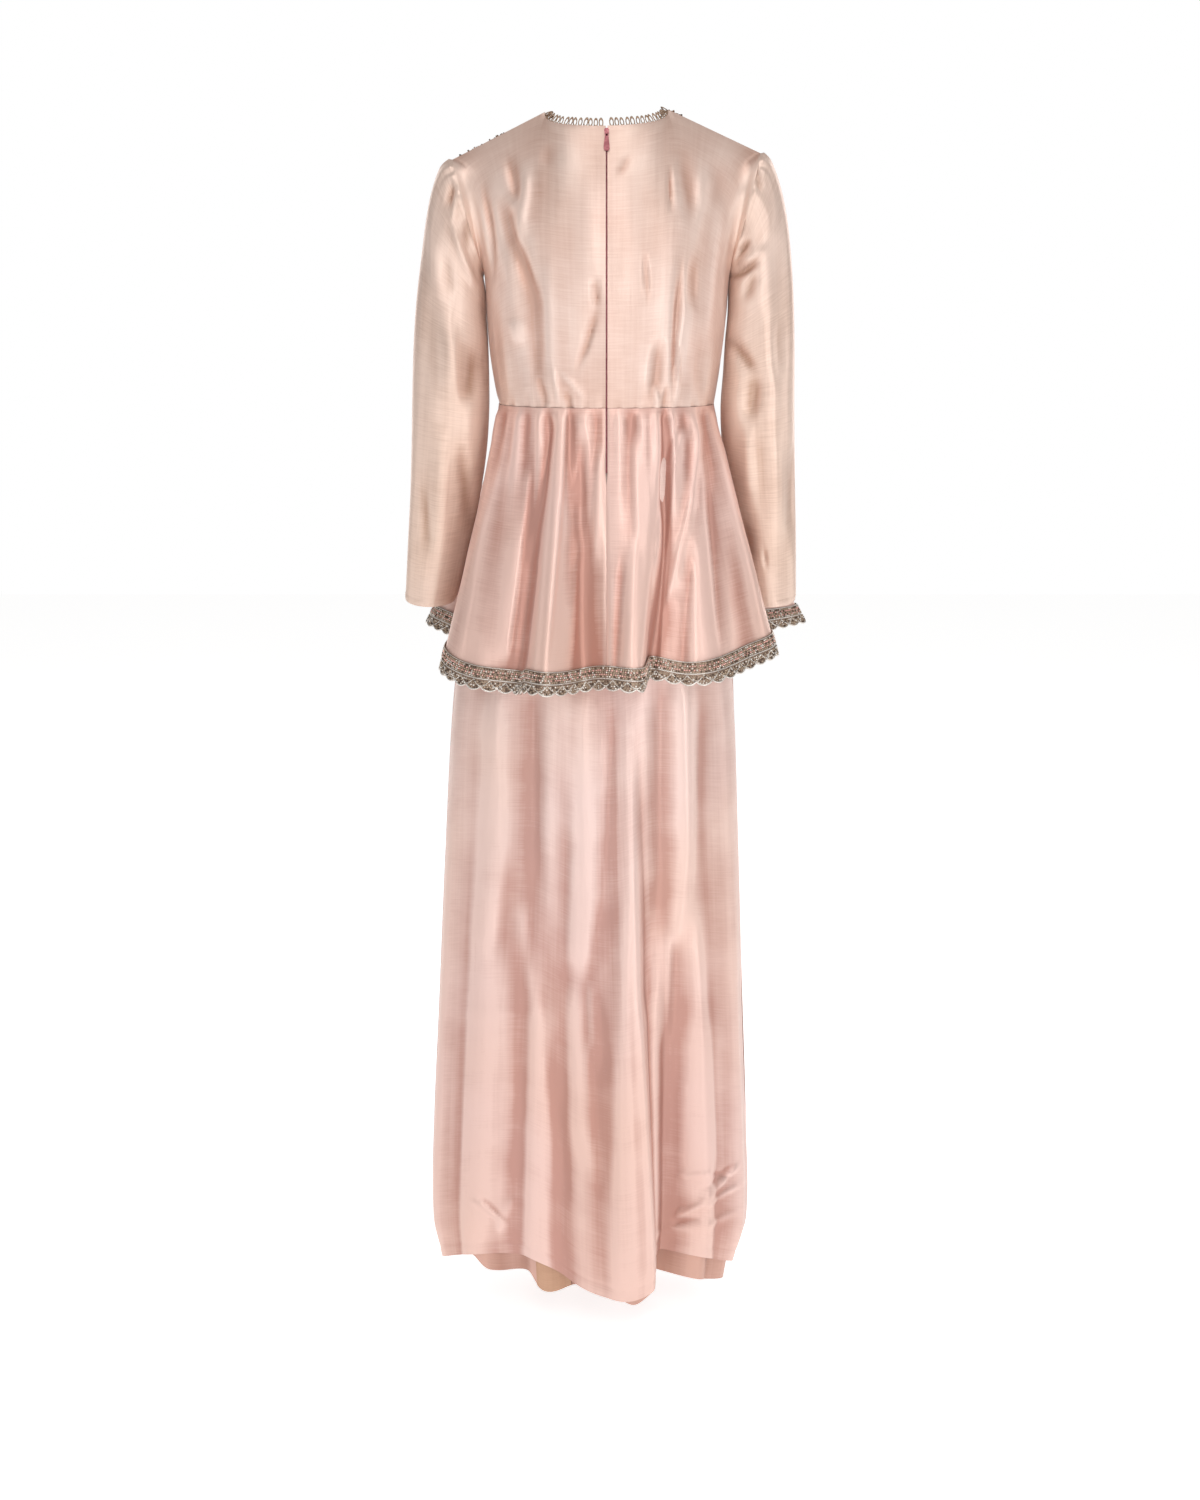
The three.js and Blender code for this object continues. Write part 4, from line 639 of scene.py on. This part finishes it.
def copies(name, model, centres, x_way, y_way, z_way, sizes, tones=None):
    """Copies of one small modelled shape, each turned to its own place. Each keeps a tone of its own."""
    shape = np.array([v.co for v in model.data.vertices])
    faces = [tuple(p.vertices) for p in model.data.polygons]
    count, n = len(centres), len(shape)
    turned = sum(shape[None, :, c : c + 1] * way[:, None] for c, way in enumerate((x_way, y_way, z_way)))
    points = centres[:, None] + sizes[:, None, None] * turned
    all_faces = [tuple(v + k * n for v in f) for k in range(count) for f in faces]
    mesh = bpy.data.meshes.new(name)
    mesh.from_pydata((points.reshape(-1, 3) * 0.001).tolist(), [], all_faces)
    if tones is not None:
        tone = np.repeat(tones, n).astype(np.float32)
        mesh.attributes.new("tone", "FLOAT", "POINT").data.foreach_set("value", tone)
    made = bpy.data.objects.new(name, mesh)
    bpy.context.scene.collection.objects.link(made)
    return made


def unit(v):
    return v / np.maximum(np.linalg.norm(v, axis=-1, keepdims=True), 1e-9)


def length_along(line):
    return np.concatenate([[0], np.cumsum(np.linalg.norm(np.diff(line, axis=0), axis=-1))])


def at_lengths(s, length, parts):
    """What each part holds at the lengths s along a line."""
    return [np.stack([np.interp(s, length, part[:, c]) for c in range(3)], -1) for part in parts]


NET = metal("trim_net", (0.2, 0.13, 0.09), (0.5, 0.37, 0.29), 0.5, 900)
SILVER_CORD = metal("trim_silver_cord", (0.52, 0.46, 0.41), (0.92, 0.87, 0.82), 0.35, 1400)
TRIM_BEADS = bpy.data.materials.new("trim_beads")
TRIM_BEADS.use_nodes = True
bead_nodes, bead_links = TRIM_BEADS.node_tree.nodes, TRIM_BEADS.node_tree.links
bead_tone = bead_nodes.new("ShaderNodeAttribute")
bead_tone.attribute_name = "tone"
bead_ramp = bead_nodes.new("ShaderNodeValToRGB")
bead_ramp.color_ramp.interpolation = "CONSTANT"
for position, colour in (
    (0, (0.10, 0.07, 0.05)), (0.2, (0.44, 0.34, 0.25)),
    (0.58, (0.78, 0.73, 0.67)), (0.8, (0.84, 0.48, 0.42)),
):
    stop = bead_ramp.color_ramp.elements[0] if position == 0 else bead_ramp.color_ramp.elements.new(position)
    stop.position, stop.color = position, (*colour, 1)
bead_ramp.color_ramp.elements.remove(bead_ramp.color_ramp.elements[-1])
bead_links.new(bead_tone.outputs["Fac"], bead_ramp.inputs["Fac"])
bead_links.new(bead_ramp.outputs["Color"], bead_nodes["Principled BSDF"].inputs["Base Color"])
bead_nodes["Principled BSDF"].inputs["Metallic"].default_value = 0.45
bead_nodes["Principled BSDF"].inputs["Roughness"].default_value = 0.3

bpy.ops.mesh.primitive_ico_sphere_add(subdivisions=1, radius=1)
bead_model = bpy.context.object
TRIM_ABOVE, TRIM_BELOW, SCALLOP, NOTCH = 17, 14, 20, 5
BEADS_OUT = 2.3  # the beads' and the cords' middles stand this far out of the cloth
BEAD_ROWS = [  # height from the hem line, gap between beads, whether every other bead is pale
    (13.8, 3.1, False), (11.2, 3.1, True), (8.6, 3.1, False), (6, 3.1, True), (3.5, 3.1, False),
    (-2.4, 3.3, False), (-5.2, 3.3, False), (-8, 3.5, False), (-10.6, 3.6, False),
]
for node in ("hem_trim_back_left", "hem_trim_back_right", "hem_trim_front"):
    grid, outward = dressed[node.replace("hem_trim", "peplum")]
    hem_parts = grid[-1], unit(grid[-6] - grid[-1]), outward[-1]
    length = length_along(grid[-1])
    scallops = round(length[-1] / SCALLOP)
    pitch = length[-1] / scallops

    def lobe(s):
        return NOTCH * (1 - np.abs(np.sin(np.pi * s / pitch)) ** 0.7) - TRIM_BELOW

    s = np.linspace(0, length[-1], scallops * 12 + 1)
    e, u, o = at_lengths(s, length, hem_parts)
    rise = np.linspace(0, 1, 7)[:, None]
    height = TRIM_ABOVE + (lobe(s) - TRIM_ABOVE) * rise
    band = e[None] + u[None] * height[..., None] + o[None] * 1.9
    sew_on(cloth(node + "_net", band, thickness=0.9), NET, node)
    # Cords: along the top, along the hem line, along the scallops, and zigzag between these two.
    step = np.linspace(0.4, length[-1] - 0.4, scallops * 10 + 1)
    e, u, o = at_lengths(step, length, hem_parts)
    zigzag = np.abs((step / pitch * 2) % 2 - 1)
    vertices, faces = [], []
    for height, radius in (
        (TRIM_ABOVE - 0.8 + 0 * step, 0.55), (1.2 + 0 * step, 0.9), (lobe(step) + 0.9, 1.1),
        (-0.5 + (lobe(step) + 2.2) * zigzag, 0.75),
    ):
        points, quads = tube(e + u * height[:, None] + o * BEADS_OUT, o, radius)
        start = sum(len(v) for v in vertices)
        vertices.append(points)
        faces += [tuple(v + start for v in q) for q in quads]
    mesh = bpy.data.meshes.new(node + "_cords")
    mesh.from_pydata((np.concatenate(vertices) * 0.001).tolist(), [], faces)
    cords = bpy.data.objects.new(node + "_cords", mesh)
    bpy.context.scene.collection.objects.link(cords)
    bpy.context.view_layer.objects.active = cords
    cords.select_set(True)
    bpy.ops.object.mode_set(mode="EDIT")
    bpy.ops.mesh.select_all(action="SELECT")
    bpy.ops.mesh.normals_make_consistent(inside=False)
    bpy.ops.object.mode_set(mode="OBJECT")
    bpy.ops.object.shade_smooth()
    cords.select_set(False)
    sew_on(cords, SILVER_CORD)
    # Beads: five rows above the hem line, and the scallops filled below it.
    random = np.random.default_rng(len(node))
    places, tones = [], []
    for height, gap, pale in BEAD_ROWS:
        at = np.arange(1.6 + (height % 2), length[-1] - 1.6, gap)
        at = at[height > lobe(at) + 1.4]
        e, u, o = at_lengths(at, length, hem_parts)
        places.append(np.stack([e + u * height + o * BEADS_OUT, u, o], 1))
        tones.append(random.uniform(0, 0.8, len(at)) + 0.2 * pale * random.uniform(0, 1, len(at)))
        if pale:
            tones[-1][::2] = 0.9
    places, tones = np.concatenate(places), np.clip(np.concatenate(tones), 0, 1)
    centre, u, o = places[:, 0], places[:, 1], places[:, 2]
    sizes = random.uniform(1.0, 1.35, len(centre))
    beads = copies(node + "_beads", bead_model, centre, unit(np.cross(u, o)), u, o, sizes, tones)
    sew_on(beads, TRIM_BEADS)


# ---- The neck's cord loops, and the beading at the shoulders ----
# Short loops of satin cord stand in a row on the neck edge, caught in its facing. The front's beading
# ends in a few dark beads over each shoulder seam.
LOOP_CORD = metal("neck_loop_cord", (0.2, 0.11, 0.07), (0.50, 0.35, 0.24), 0.5, 700)
LOOP_CORD.node_tree.nodes["Principled BSDF"].inputs["Metallic"].default_value = 0.2
bpy.ops.mesh.primitive_torus_add(major_radius=2.2, minor_radius=0.68, major_segments=14, minor_segments=6)
loop_model = bpy.context.object
LOOP_PITCH = 6.2
bpy.ops.object.mode_set(mode="EDIT")
bpy.ops.mesh.select_all(action="SELECT")
bpy.ops.transform.resize(value=(1, 2.4, 1))
bpy.ops.object.mode_set(mode="OBJECT")
bpy.ops.object.select_all(action="DESELECT")
for node, panel, columns in (
    ("neck_loops_back_left", "back_bodice_left", slice(0, 27)),
    ("neck_loops_back_right", "back_bodice_right", slice(0, 27)),
    ("neck_loops_front", "front_bodice", slice(44, 85)),
):
    grid, outward = dressed[panel]
    neck_parts = grid[-1, columns], grid[-4, columns], unit(outward[-1, columns])
    length = length_along(neck_parts[0])
    count = round((length[-1] - 8) / LOOP_PITCH)
    at, low, o = at_lengths(np.linspace(5.5, length[-1] - 4, count), length, neck_parts)
    tangent = unit(np.gradient(at, axis=0))
    up = np.cross(tangent, o)
    up *= np.sign((up * (at - low)).sum(-1, keepdims=True))
    up = up + 0.8 * np.array((0, 0, 1)) - 0.8 * tangent * tangent[:, 2:]
    random = np.random.default_rng(len(node) + 1)
    up = unit(up + tangent * random.uniform(-0.22, 0.22, (count, 1)))
    side = unit(tangent - up * (tangent * up).sum(-1, keepdims=True))
    centre, sizes = at + up * 4.6 - o * 0.7, random.uniform(0.94, 1.06, count)
    loops = copies(node + "_cord", loop_model, centre, side, up, np.cross(side, up), sizes)
    bpy.context.view_layer.objects.active = loops
    loops.select_set(True)
    bpy.ops.object.shade_smooth()
    loops.select_set(False)
    sew_on(loops, LOOP_CORD, node)

DARK_BEADS = metal("shoulder_dark_beads", (0.05, 0.035, 0.03), (0.3, 0.2, 0.14), 0.3, 500)
grid, outward = dressed["front_bodice"]
random = np.random.default_rng(5)
spots = []
for first, last, rows_down, count in ((27, 36, 5, 60), (84, 87, 3, 14)):  # from column to column of the front
    column, row = random.uniform(first, last, count), random.uniform(0.3, rows_down, count)
    i, j = column.astype(int), grid.shape[0] - 1 - row.astype(int)
    share = (column - i)[:, None]
    spot = grid[j, i] * (1 - share) + grid[j, i + 1] * share
    spots.append(np.stack([spot, outward[j, i], unit(grid[j, i + 1] - grid[j, i])], 1))
spots = np.concatenate(spots)
centre, o, side = spots[:, 0], spots[:, 1], spots[:, 2]
sizes = random.uniform(1.0, 1.7, len(centre))
shoulder_beads = copies("shoulder_beading", bead_model, centre + o * 0.9, side, np.cross(o, side), o, sizes)
sew_on(shoulder_beads, DARK_BEADS)


# ---- The back zip ----
# A dusty rose concealed zip from the neck to below the waist: woven tape behind the cloth, its coil in the
# slit, a small slider near the top and a teardrop pull tab that hangs from the slider's bridge.
ZIP_TAPE = silk("zip_tape_weave", (0.52, 0.2, 0.22), (0.38, 0.13, 0.15), slub=0.2, gloss=0.5)
ZIP_METAL = metal("zip_rose_metal", (0.25, 0.08, 0.09), (0.38, 0.14, 0.15), 0.34, 220)
TAPE_HALF_WIDTH, TOOTH_PITCH = 10.5, 1.5
seam_line = np.concatenate([dressed["peplum_back_right"][0][::-1, 0], dressed["back_bodice_right"][0][:, 0]])
seam_line = seam_line[(seam_line[:, 2] > ZIP_END) & (seam_line[:, 2] < 36)]
tape_z = np.linspace(ZIP_END + 1, 34, 90)
tape_y = np.interp(tape_z, seam_line[:, 2], seam_line[:, 1])
tape_x = np.linspace(-TAPE_HALF_WIDTH, TAPE_HALF_WIDTH, 9)[None, :]
tape_y = tape_y[:, None] + 2.4 + 0.012 * tape_x**2
zip_tape = cloth(
    "zip_tape_woven", np.stack(np.broadcast_arrays(tape_x, tape_y, tape_z[:, None]), -1), thickness=0.6,
)
sew_on(zip_tape, ZIP_TAPE, "zip_tape")
bpy.ops.mesh.primitive_cube_add(size=1)
tooth_model = bpy.context.object
bpy.ops.object.mode_set(mode="EDIT")
bpy.ops.mesh.select_all(action="SELECT")
bpy.ops.transform.resize(value=(2.3, 0.95, 1.1))
bpy.ops.mesh.bevel(offset=0.3, segments=1, affect="EDGES")
bpy.ops.object.mode_set(mode="OBJECT")
bpy.ops.object.select_all(action="DESELECT")
coil_z = np.arange(ZIP_END + 2, 20, TOOTH_PITCH)
coil = np.stack([0 * coil_z, np.interp(coil_z, seam_line[:, 2], seam_line[:, 1]) + 0.35, coil_z], -1)
run = unit(np.gradient(coil, axis=0))
across = np.tile((1.0, 0, 0), (len(coil), 1))
zip_coil = copies("zip_coil", tooth_model, coil, across, run, np.cross(across, run), np.ones(len(coil)))
sew_on(zip_coil, ZIP_METAL)
for node in ("zip_slider", "zip_pull"):
    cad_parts[node].data.materials.clear()
    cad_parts[node].data.materials.append(ZIP_METAL)


# ---- The skirt's outer panels and its waistband ----
# A long straight back panel with one deep flute, and two front panels that lap and hang in the pleats of
# a dhoti drape, each hem rising to its free edge. All are set into a narrow band at the waist.
SKIRT = np.array([  # height, then how far the left, right, back and front stand from the middle
    (-1480, 222, 178, 104, 132), (-1370, 232, 190, 108, 136), (-1250, 229, 187, 110, 134),
    (-1100, 221, 181, 112, 131), (-900, 211, 173, 114, 126), (-700, 199, 165, 117, 119),
    (-600, 187, 160, 118, 114), (-480, 166, 152, 115, 108), (-380, 146, 141, 106, 102),
    (-326, 133, 133, 94.6, 94), (-290, 132, 132, 94.6, 94),
])
SKIRT_FOLDS = [  # angle at the top and at the hem, spread left and right, depth, start and end heights
    (4, 11, 27, 6.5, 52, -620, -1446), (26, 25, 8, 14, -20, -760, -1446), (-16, -20, 9, 8, 9, -420, -1240),
    (-42, -47, 11, 10, 10, -420, -1446), (-72, -76, 14, 12, 4.5, -520, -1446),
    (34, 40, 9, 10, 10, -420, -1446), (62, 66, 13, 14, 5, -480, -1446), (112, 116, 12, 12, 12, -420, -1446),
    (-112, -118, 12, 12, 12, -420, -1446),
]
PLEATS, PLEAT_TOP_SPAN, PLEAT_HEM_SPAN, PLEAT_DEPTH = 7, 32, 105, 17
PLEAT_START, PLEAT_FULL = -345, -950
FLUTE_AT, FLUTE_SPREAD, FLUTE_LEAN = 14, 34, 7  # the back's columns lean to follow the deep flute, in degrees
SKIRT_HEM = np.array([  # angle, height of the back panel's hem
    (-90, -1444), (-76, -1436), (-60, -1423), (-44, -1411), (-28, -1405), (-20, -1410), (-12, -1430),
    (-4, -1444), (4, -1449), (10, -1438), (15, -1420), (20, -1404), (34, -1409), (55, -1427), (70, -1438),
    (90, -1449),
])
SKIRT_TOP, SKIRT_LOW = -326.4, -1446
SKIRT_ROUND = 2.2
LAP_HEM, LAP_CURVE = -1120, 2.4  # the height of a front's hem at its free edge, and how steeply it rises
SKIRT_SILK = silk(
    "skirt_silk", (0.79, 0.61, 0.565), (0.52, 0.31, 0.27),
    slub=0.22, gloss=0.4, shade=0.22, rosy_below=(-0.6, -1.15),
)
SKIRT_CREASES = [
    (-140, -663, -132, -856, 0, 28, 13, 2.3), (-132, -843, -156, -1000, 0, 25, 12, 2.4),
    (-108, -936, -95, -1053, 0, 9, 6, 1.4), (-138, -986, -127, -1200, 0, 38, 14, 2.7),
    (-129, -1173, -146, -1392, 0, 35, 15, 2.3), (-95, -650, -89, -869, 0, 20, 15, -2.7),
    (-86, -856, -77, -1066, 0, 20, 15, -3.0), (-83, -1039, -69, -1200, 0, 9, 9, -1.9),
    (-69, -1187, -52, -1323, 0, 9, 10, -1.6), (-50, -638, -37, -869, 0, 15, 43, 2.6),
    (-36, -856, -41, -1013, 0, 15, 25, 2.6), (-44, -1033, -34, -1248, 0, 19, 12, 2.4),
    (8, -688, -2, -927, 0, 9, 9, -1.5), (-3, -914, -23, -1033, 0, 7, 12, -1.9),
    (-28, -1026, -25, -1113, 0, 5, 5, -1.3), (-11, -1033, -3, -1146, 0, 7, 7, -2.0),
    (-18, -1106, -8, -1296, 0, 6, 15, -2.3), (-11, -1268, -5, -1448, 0, 15, 10, -1.8),
    (32, -638, 33, -921, 0, 18, 20, 2.4), (30, -895, 24, -1160, 0, 12, 22, 2.7),
    (23, -1133, 22, -1448, 0, 12, 25, 2.7), (69, -638, 68, -921, 0, 14, 12, -2.6),
    (64, -895, 53, -1066, 0, 13, 14, -2.2), (79, -967, 77, -1113, 0, 10, 7, 2.2),
    (101, -638, 103, -882, 0, 13, 10, 2.4), (101, -869, 89, -986, 0, 12, 10, 1.9),
    (124, -663, 116, -921, 0, 9, 14, -2.2), (119, -895, 107, -1106, 0, 14, 15, -1.9),
    (157, -663, 169, -1053, 0, 18, 13, 1.6), (141, -1079, 140, -1309, 0, 22, 13, 2.3),
    (108, -1160, 111, -1296, 0, 14, 13, 1.4), (96, -1301, 137, -1293, 0, 3.4, 3.8, 1.7),
    (137, -1296, 165, -1314, 0, 3.4, 3.4, -1.2), (94, -1356, 143, -1323, 0, 5.1, 4.2, 2.0),
    (143, -1323, 175, -1297, 0, 4.2, 3.4, 1.9), (100, -1348, 177, -1326, 0, 4.2, 4.2, 1.7),
    (64, -1376, 172, -1363, 0, 7, 5, 1.4), (119, -1322, 167, -1296, 0, 3.8, 4.2, -1.6),
    (88, -1366, 133, -1355, 0, 3.4, 4.2, -1.3), (-194, -1085, -110, -1079, 2, 3, 3, 0.5),
    (-173, -1334, -138, -1359, 0, 3.8, 3.4, 1.8), (-164, -1329, -128, -1362, 0, 3.4, 3.8, -1.5),
    (-122, -1327, -141, -1378, 0, 7, 7, 1.3), (-28, -640, -30, -1010, 0, 23, 22, 2.2),
    (-150, -1060, -162, -1400, 0, 22, 23, 1.8), (22, -900, 12, -1440, 0, 14, 18, 1.6),
]
SKIRT_FRONT_CREASES = [
    (-150, -700, -165, -1250, 3, 12, 12, -3.5), (150, -720, 140, -1240, -3, 12, 12, -3.5),
    (-120, -1240, -180, -1300, 2, 3, 4, 1.8), (110, -1230, 160, -1290, 2, 3, 4, 1.8),
    (-90, -900, -130, -1050, 0, 6, 6, 2), (80, -860, 120, -1010, 0, 6, 6, 2),
]


def fall_of(z):
    return np.clip((SKIRT_TOP - z) / (SKIRT_TOP - SKIRT_LOW), 0, 1)


def bump(x):
    return np.where(np.abs(x) < 1, (1 + np.cos(np.pi * np.clip(x, -1, 1))) / 2, 0)


def folds_at(angle, z):
    push = 0 * angle
    for top, hem, left, right, depth, start, end in SKIRT_FOLDS:
        off = wrap(angle - (top + (hem - top) * fall_of(z)))
        push = push + depth * bump(off / np.where(off < 0, left, right)) * ease(start, end, z)
    return push + hem_tuck(angle, z)


def hem_tuck(angle, z):
    """Towards its hem the skirt draws in at both sides, more on the right."""
    off = np.abs(wrap(angle))
    deep = np.where(wrap(angle) < 0, 8, 12)
    return -deep * bump((off - 86) / 46) * ease(-1385, -1452, z)


def pleats_at(angle, z):
    span = PLEAT_TOP_SPAN + (PLEAT_HEM_SPAN - PLEAT_TOP_SPAN) * fall_of(z)
    phase = (angle - 180) / span * PLEATS
    inside = np.abs(phase) <= PLEATS / 2
    depth = PLEAT_DEPTH * (0.5 + 0.5 * np.cos(2 * np.pi * phase)) * ease(PLEAT_START, PLEAT_FULL, z)
    return np.where(inside, depth, 0)


def skirt_points(angle, z, push):
    a = np.radians(angle)
    sin, cos = np.sin(a), np.cos(a)
    width = np.where(sin < 0, follow(SKIRT[:, 0], SKIRT[:, 1], z), follow(SKIRT[:, 0], SKIRT[:, 2], z))
    depth = np.where(cos < 0, follow(SKIRT[:, 0], SKIRT[:, 4], z), follow(SKIRT[:, 0], SKIRT[:, 3], z))
    x = width * np.sign(sin) * np.abs(sin) ** (2 / SKIRT_ROUND)
    y = -depth * np.sign(cos) * np.abs(cos) ** (2 / SKIRT_ROUND)
    far = np.hypot(x, y)
    return np.stack([x * (1 + push / far), y * (1 + push / far), z + 0 * a], -1)


def back_column(hem_angle, z):
    return hem_angle - FLUTE_LEAN * (1 - fall_of(z)) * bump((hem_angle - FLUTE_AT) / FLUTE_SPREAD)


def front_column(hem_angle, z):
    off, half = hem_angle - 180, PLEAT_HEM_SPAN / 2
    now = (PLEAT_TOP_SPAN + (PLEAT_HEM_SPAN - PLEAT_TOP_SPAN) * fall_of(z)) / 2
    past = (np.abs(off) - half) / (90 - half)
    beside = now + (90 - now) * past
    return np.where(np.abs(off) <= half, 180 + off * now / half, 180 + np.sign(off) * beside)


def skirt_panel(node, hem_angle, hem_z, column, push_of, rows, lines, seed):
    share = np.concatenate([np.linspace(0, 0.78, rows // 2)[:-1], np.linspace(0.78, 1, rows // 2)])[:, None]
    z = SKIRT_TOP + (hem_z[None, :] - SKIRT_TOP) * share
    angle = column(hem_angle[None, :] + 0 * z, z)
    grid = skirt_points(angle, z, push_of(angle, z))
    outward = out_of_body(grid)
    grid = crease(drift(grid, outward, 0.7, 1.8, seed), outward, lines)
    # The hem's stitching sinks in, 15 mm above the edge.
    hem_fold = np.exp(-(((z - hem_z[None, :] - 15) / 3.5) ** 2))
    piece = cloth(node + "_cloth", grid - outward * (0.5 * hem_fold)[..., None])
    sew_on(piece, SKIRT_SILK, node)
    return piece


back_angles = np.concatenate([
    np.linspace(-90, -16, 81)[:-1], np.linspace(-16, 6, 31)[:-1], np.linspace(6, 20, 51)[:-1],
    np.linspace(20, 90, 96),
])
back_hem = follow(SKIRT_HEM[:, 0], SKIRT_HEM[:, 1], back_angles)
skirt_back = skirt_panel("skirt_back", back_angles, back_hem, back_column, folds_at, 168, SKIRT_CREASES, 21)
for node, side, edge, side_hem, lift, seed in (
    ("skirt_front_over", 270, 157.5, -1444, 4.2, 31), ("skirt_front_under", 90, 195, -1449, 0, 33),
):
    angles = np.linspace(min(side, edge), max(side, edge), 151)
    hem = side_hem + (LAP_HEM - side_hem) * ((angles - side) / (edge - side)) ** LAP_CURVE

    def front_folds(angle, z):
        return folds_at(angle, z) + pleats_at(angle, z) + lift * ease(262, 205, angle)

    piece = skirt_panel(node, angles, hem, front_column, front_folds, 110, SKIRT_FRONT_CREASES, seed)
band_angle, band_z = np.meshgrid(np.arange(-180, 180, 3.0), np.linspace(-292, -326, 9))
band = skirt_points(band_angle, band_z, 0 * band_z)
waistband = cloth("skirt_waistband_cloth", band, thickness=1.6, closed=True)
sew_on(waistband, SKIRT_SILK, "skirt_waistband")


# ---- The underskirt ----
# A full layer of the same silk inside the skirt, which shows below the outer hem. Its own hem is uneven,
# and one corner at the back left is turned out, so that its golden facing shows.
UNDERSKIRT_HEM = np.array([  # angle, height of the hem
    (-180, -1458), (-90, -1440), (-62, -1419), (-48, -1416), (-42, -1434), (-26, -1430), (-20, -1453),
    (-16, -1456), (-8, -1443), (-2, -1441), (3, -1450), (7, -1456), (11, -1442), (15, -1427), (27, -1436),
    (40, -1446), (62, -1459), (90, -1466), (180, -1458),
])
UNDERSKIRT_SILK = silk("underskirt_silk", (0.60, 0.37, 0.31), (0.44, 0.24, 0.19))
under_angles = np.concatenate([back_angles, np.linspace(90, 270, 111)[1:-1]])
share = np.linspace(0, 1, 49)[:, None]
under_hem = follow(UNDERSKIRT_HEM[:, 0], UNDERSKIRT_HEM[:, 1], wrap(under_angles))
z = SKIRT_TOP + (under_hem[None, :] - SKIRT_TOP) * share
angle = np.where(under_angles <= 90, back_column(under_angles + 0 * z, z), under_angles + 0 * z)
grid = skirt_points(angle, z, folds_at(angle, z) - (2.1 + 6.9 * ease(0, 0.3, share)))
underskirt = cloth("underskirt_cloth", grid, closed=True)
sew_on(underskirt, UNDERSKIRT_SILK, "underskirt")

corner = np.flatnonzero((under_angles > -22) & (under_angles < -10))
outward = outward_of(grid, body_axis(grid), True)[0]
turned = cloth("underskirt_turned_corner", grid[-3:, corner] + outward[-3:, corner] * 1.3)
sew_on(turned, silk("turned_corner_silk", (0.56, 0.35, 0.24), (0.40, 0.22, 0.14)))

for unused in (bead_model, loop_model, tooth_model):
    bpy.data.objects.remove(unused)


# ---- The room: floor, light and camera ----
# A plain pale floor, a tall soft light from the front with a strip at each side of it, one from above, and
# low ones at both sides and behind.
bpy.ops.mesh.primitive_plane_add(size=14, location=(0, 0, -1.505))
floor = bpy.context.object
floor.name = "floor"
floor_paint = bpy.data.materials.new("floor_paint")
floor_paint.use_nodes = True
floor_shader = floor_paint.node_tree.nodes["Principled BSDF"]
floor_shader.inputs["Base Color"].default_value = (0.95, 0.95, 0.95, 1)
floor_shader.inputs["Roughness"].default_value = 0.9
floor_shader.inputs["Emission Color"].default_value = (1, 1, 1, 1)
floor_shader.inputs["Emission Strength"].default_value = 0.74
floor.data.materials.append(floor_paint)
for name, location, turn, size, power in (
    ("front_light", (0.12, -3.6, 0.65), (80, 0, 2), (0.7, 2.8), 34.5),
    ("left_strip", (-1.7, -2.9, -0.2), (90, 0, -30), (0.4, 2.6), 8),
    ("right_strip", (1.8, -2.8, -0.2), (90, 0, 33), (0.4, 2.6), 20),
    ("top_light", (0.0, -1.0, 2.4), (18, 0, 0), (2.2, 1.6), 32),
    ("left_side", (-3.0, 0.4, 0.2), (88, 0, -98), (0.8, 2.4), 6),
    ("right_side", (3.0, 0.4, 0.2), (88, 0, 98), (0.8, 2.4), 10),
    ("behind_left", (-1.6, 3.0, 0.3), (-84, 0, 28), (0.9, 2.4), 12),
    ("behind_right", (1.8, 3.0, 0.3), (-84, 0, -31), (0.7, 2.4), 16),
):
    bpy.ops.object.light_add(type="AREA", location=location, rotation=[radians(a) for a in turn])
    lamp = bpy.context.object
    lamp.name, lamp.data.shape, lamp.data.energy = name, "RECTANGLE", power
    lamp.data.size, lamp.data.size_y = size
world = bpy.data.worlds.new("room")
bpy.context.scene.world = world
world.use_nodes = True
room, room_links = world.node_tree.nodes, world.node_tree.links
seen = room.new("ShaderNodeBackground")
seen.inputs["Color"].default_value = (1, 1, 1, 1)
room["Background"].inputs["Color"].default_value = (1, 0.985, 0.975, 1)
room["Background"].inputs["Strength"].default_value = 0.24
which, either = room.new("ShaderNodeLightPath"), room.new("ShaderNodeMixShader")
room_links.new(which.outputs["Is Camera Ray"], either.inputs["Fac"])
room_links.new(room["Background"].outputs["Background"], either.inputs[1])
room_links.new(seen.outputs["Background"], either.inputs[2])
room_links.new(either.outputs["Shader"], room["World Output"].inputs["Surface"])
bpy.ops.object.camera_add(location=(-0.008, -3.25, -0.1), rotation=(radians(90 - 11.3), 0, 0))
camera = bpy.context.object
camera.data.sensor_width = 36
camera.data.lens = 61.2
bpy.context.scene.camera = camera
bpy.context.scene.view_settings.view_transform = "Standard"
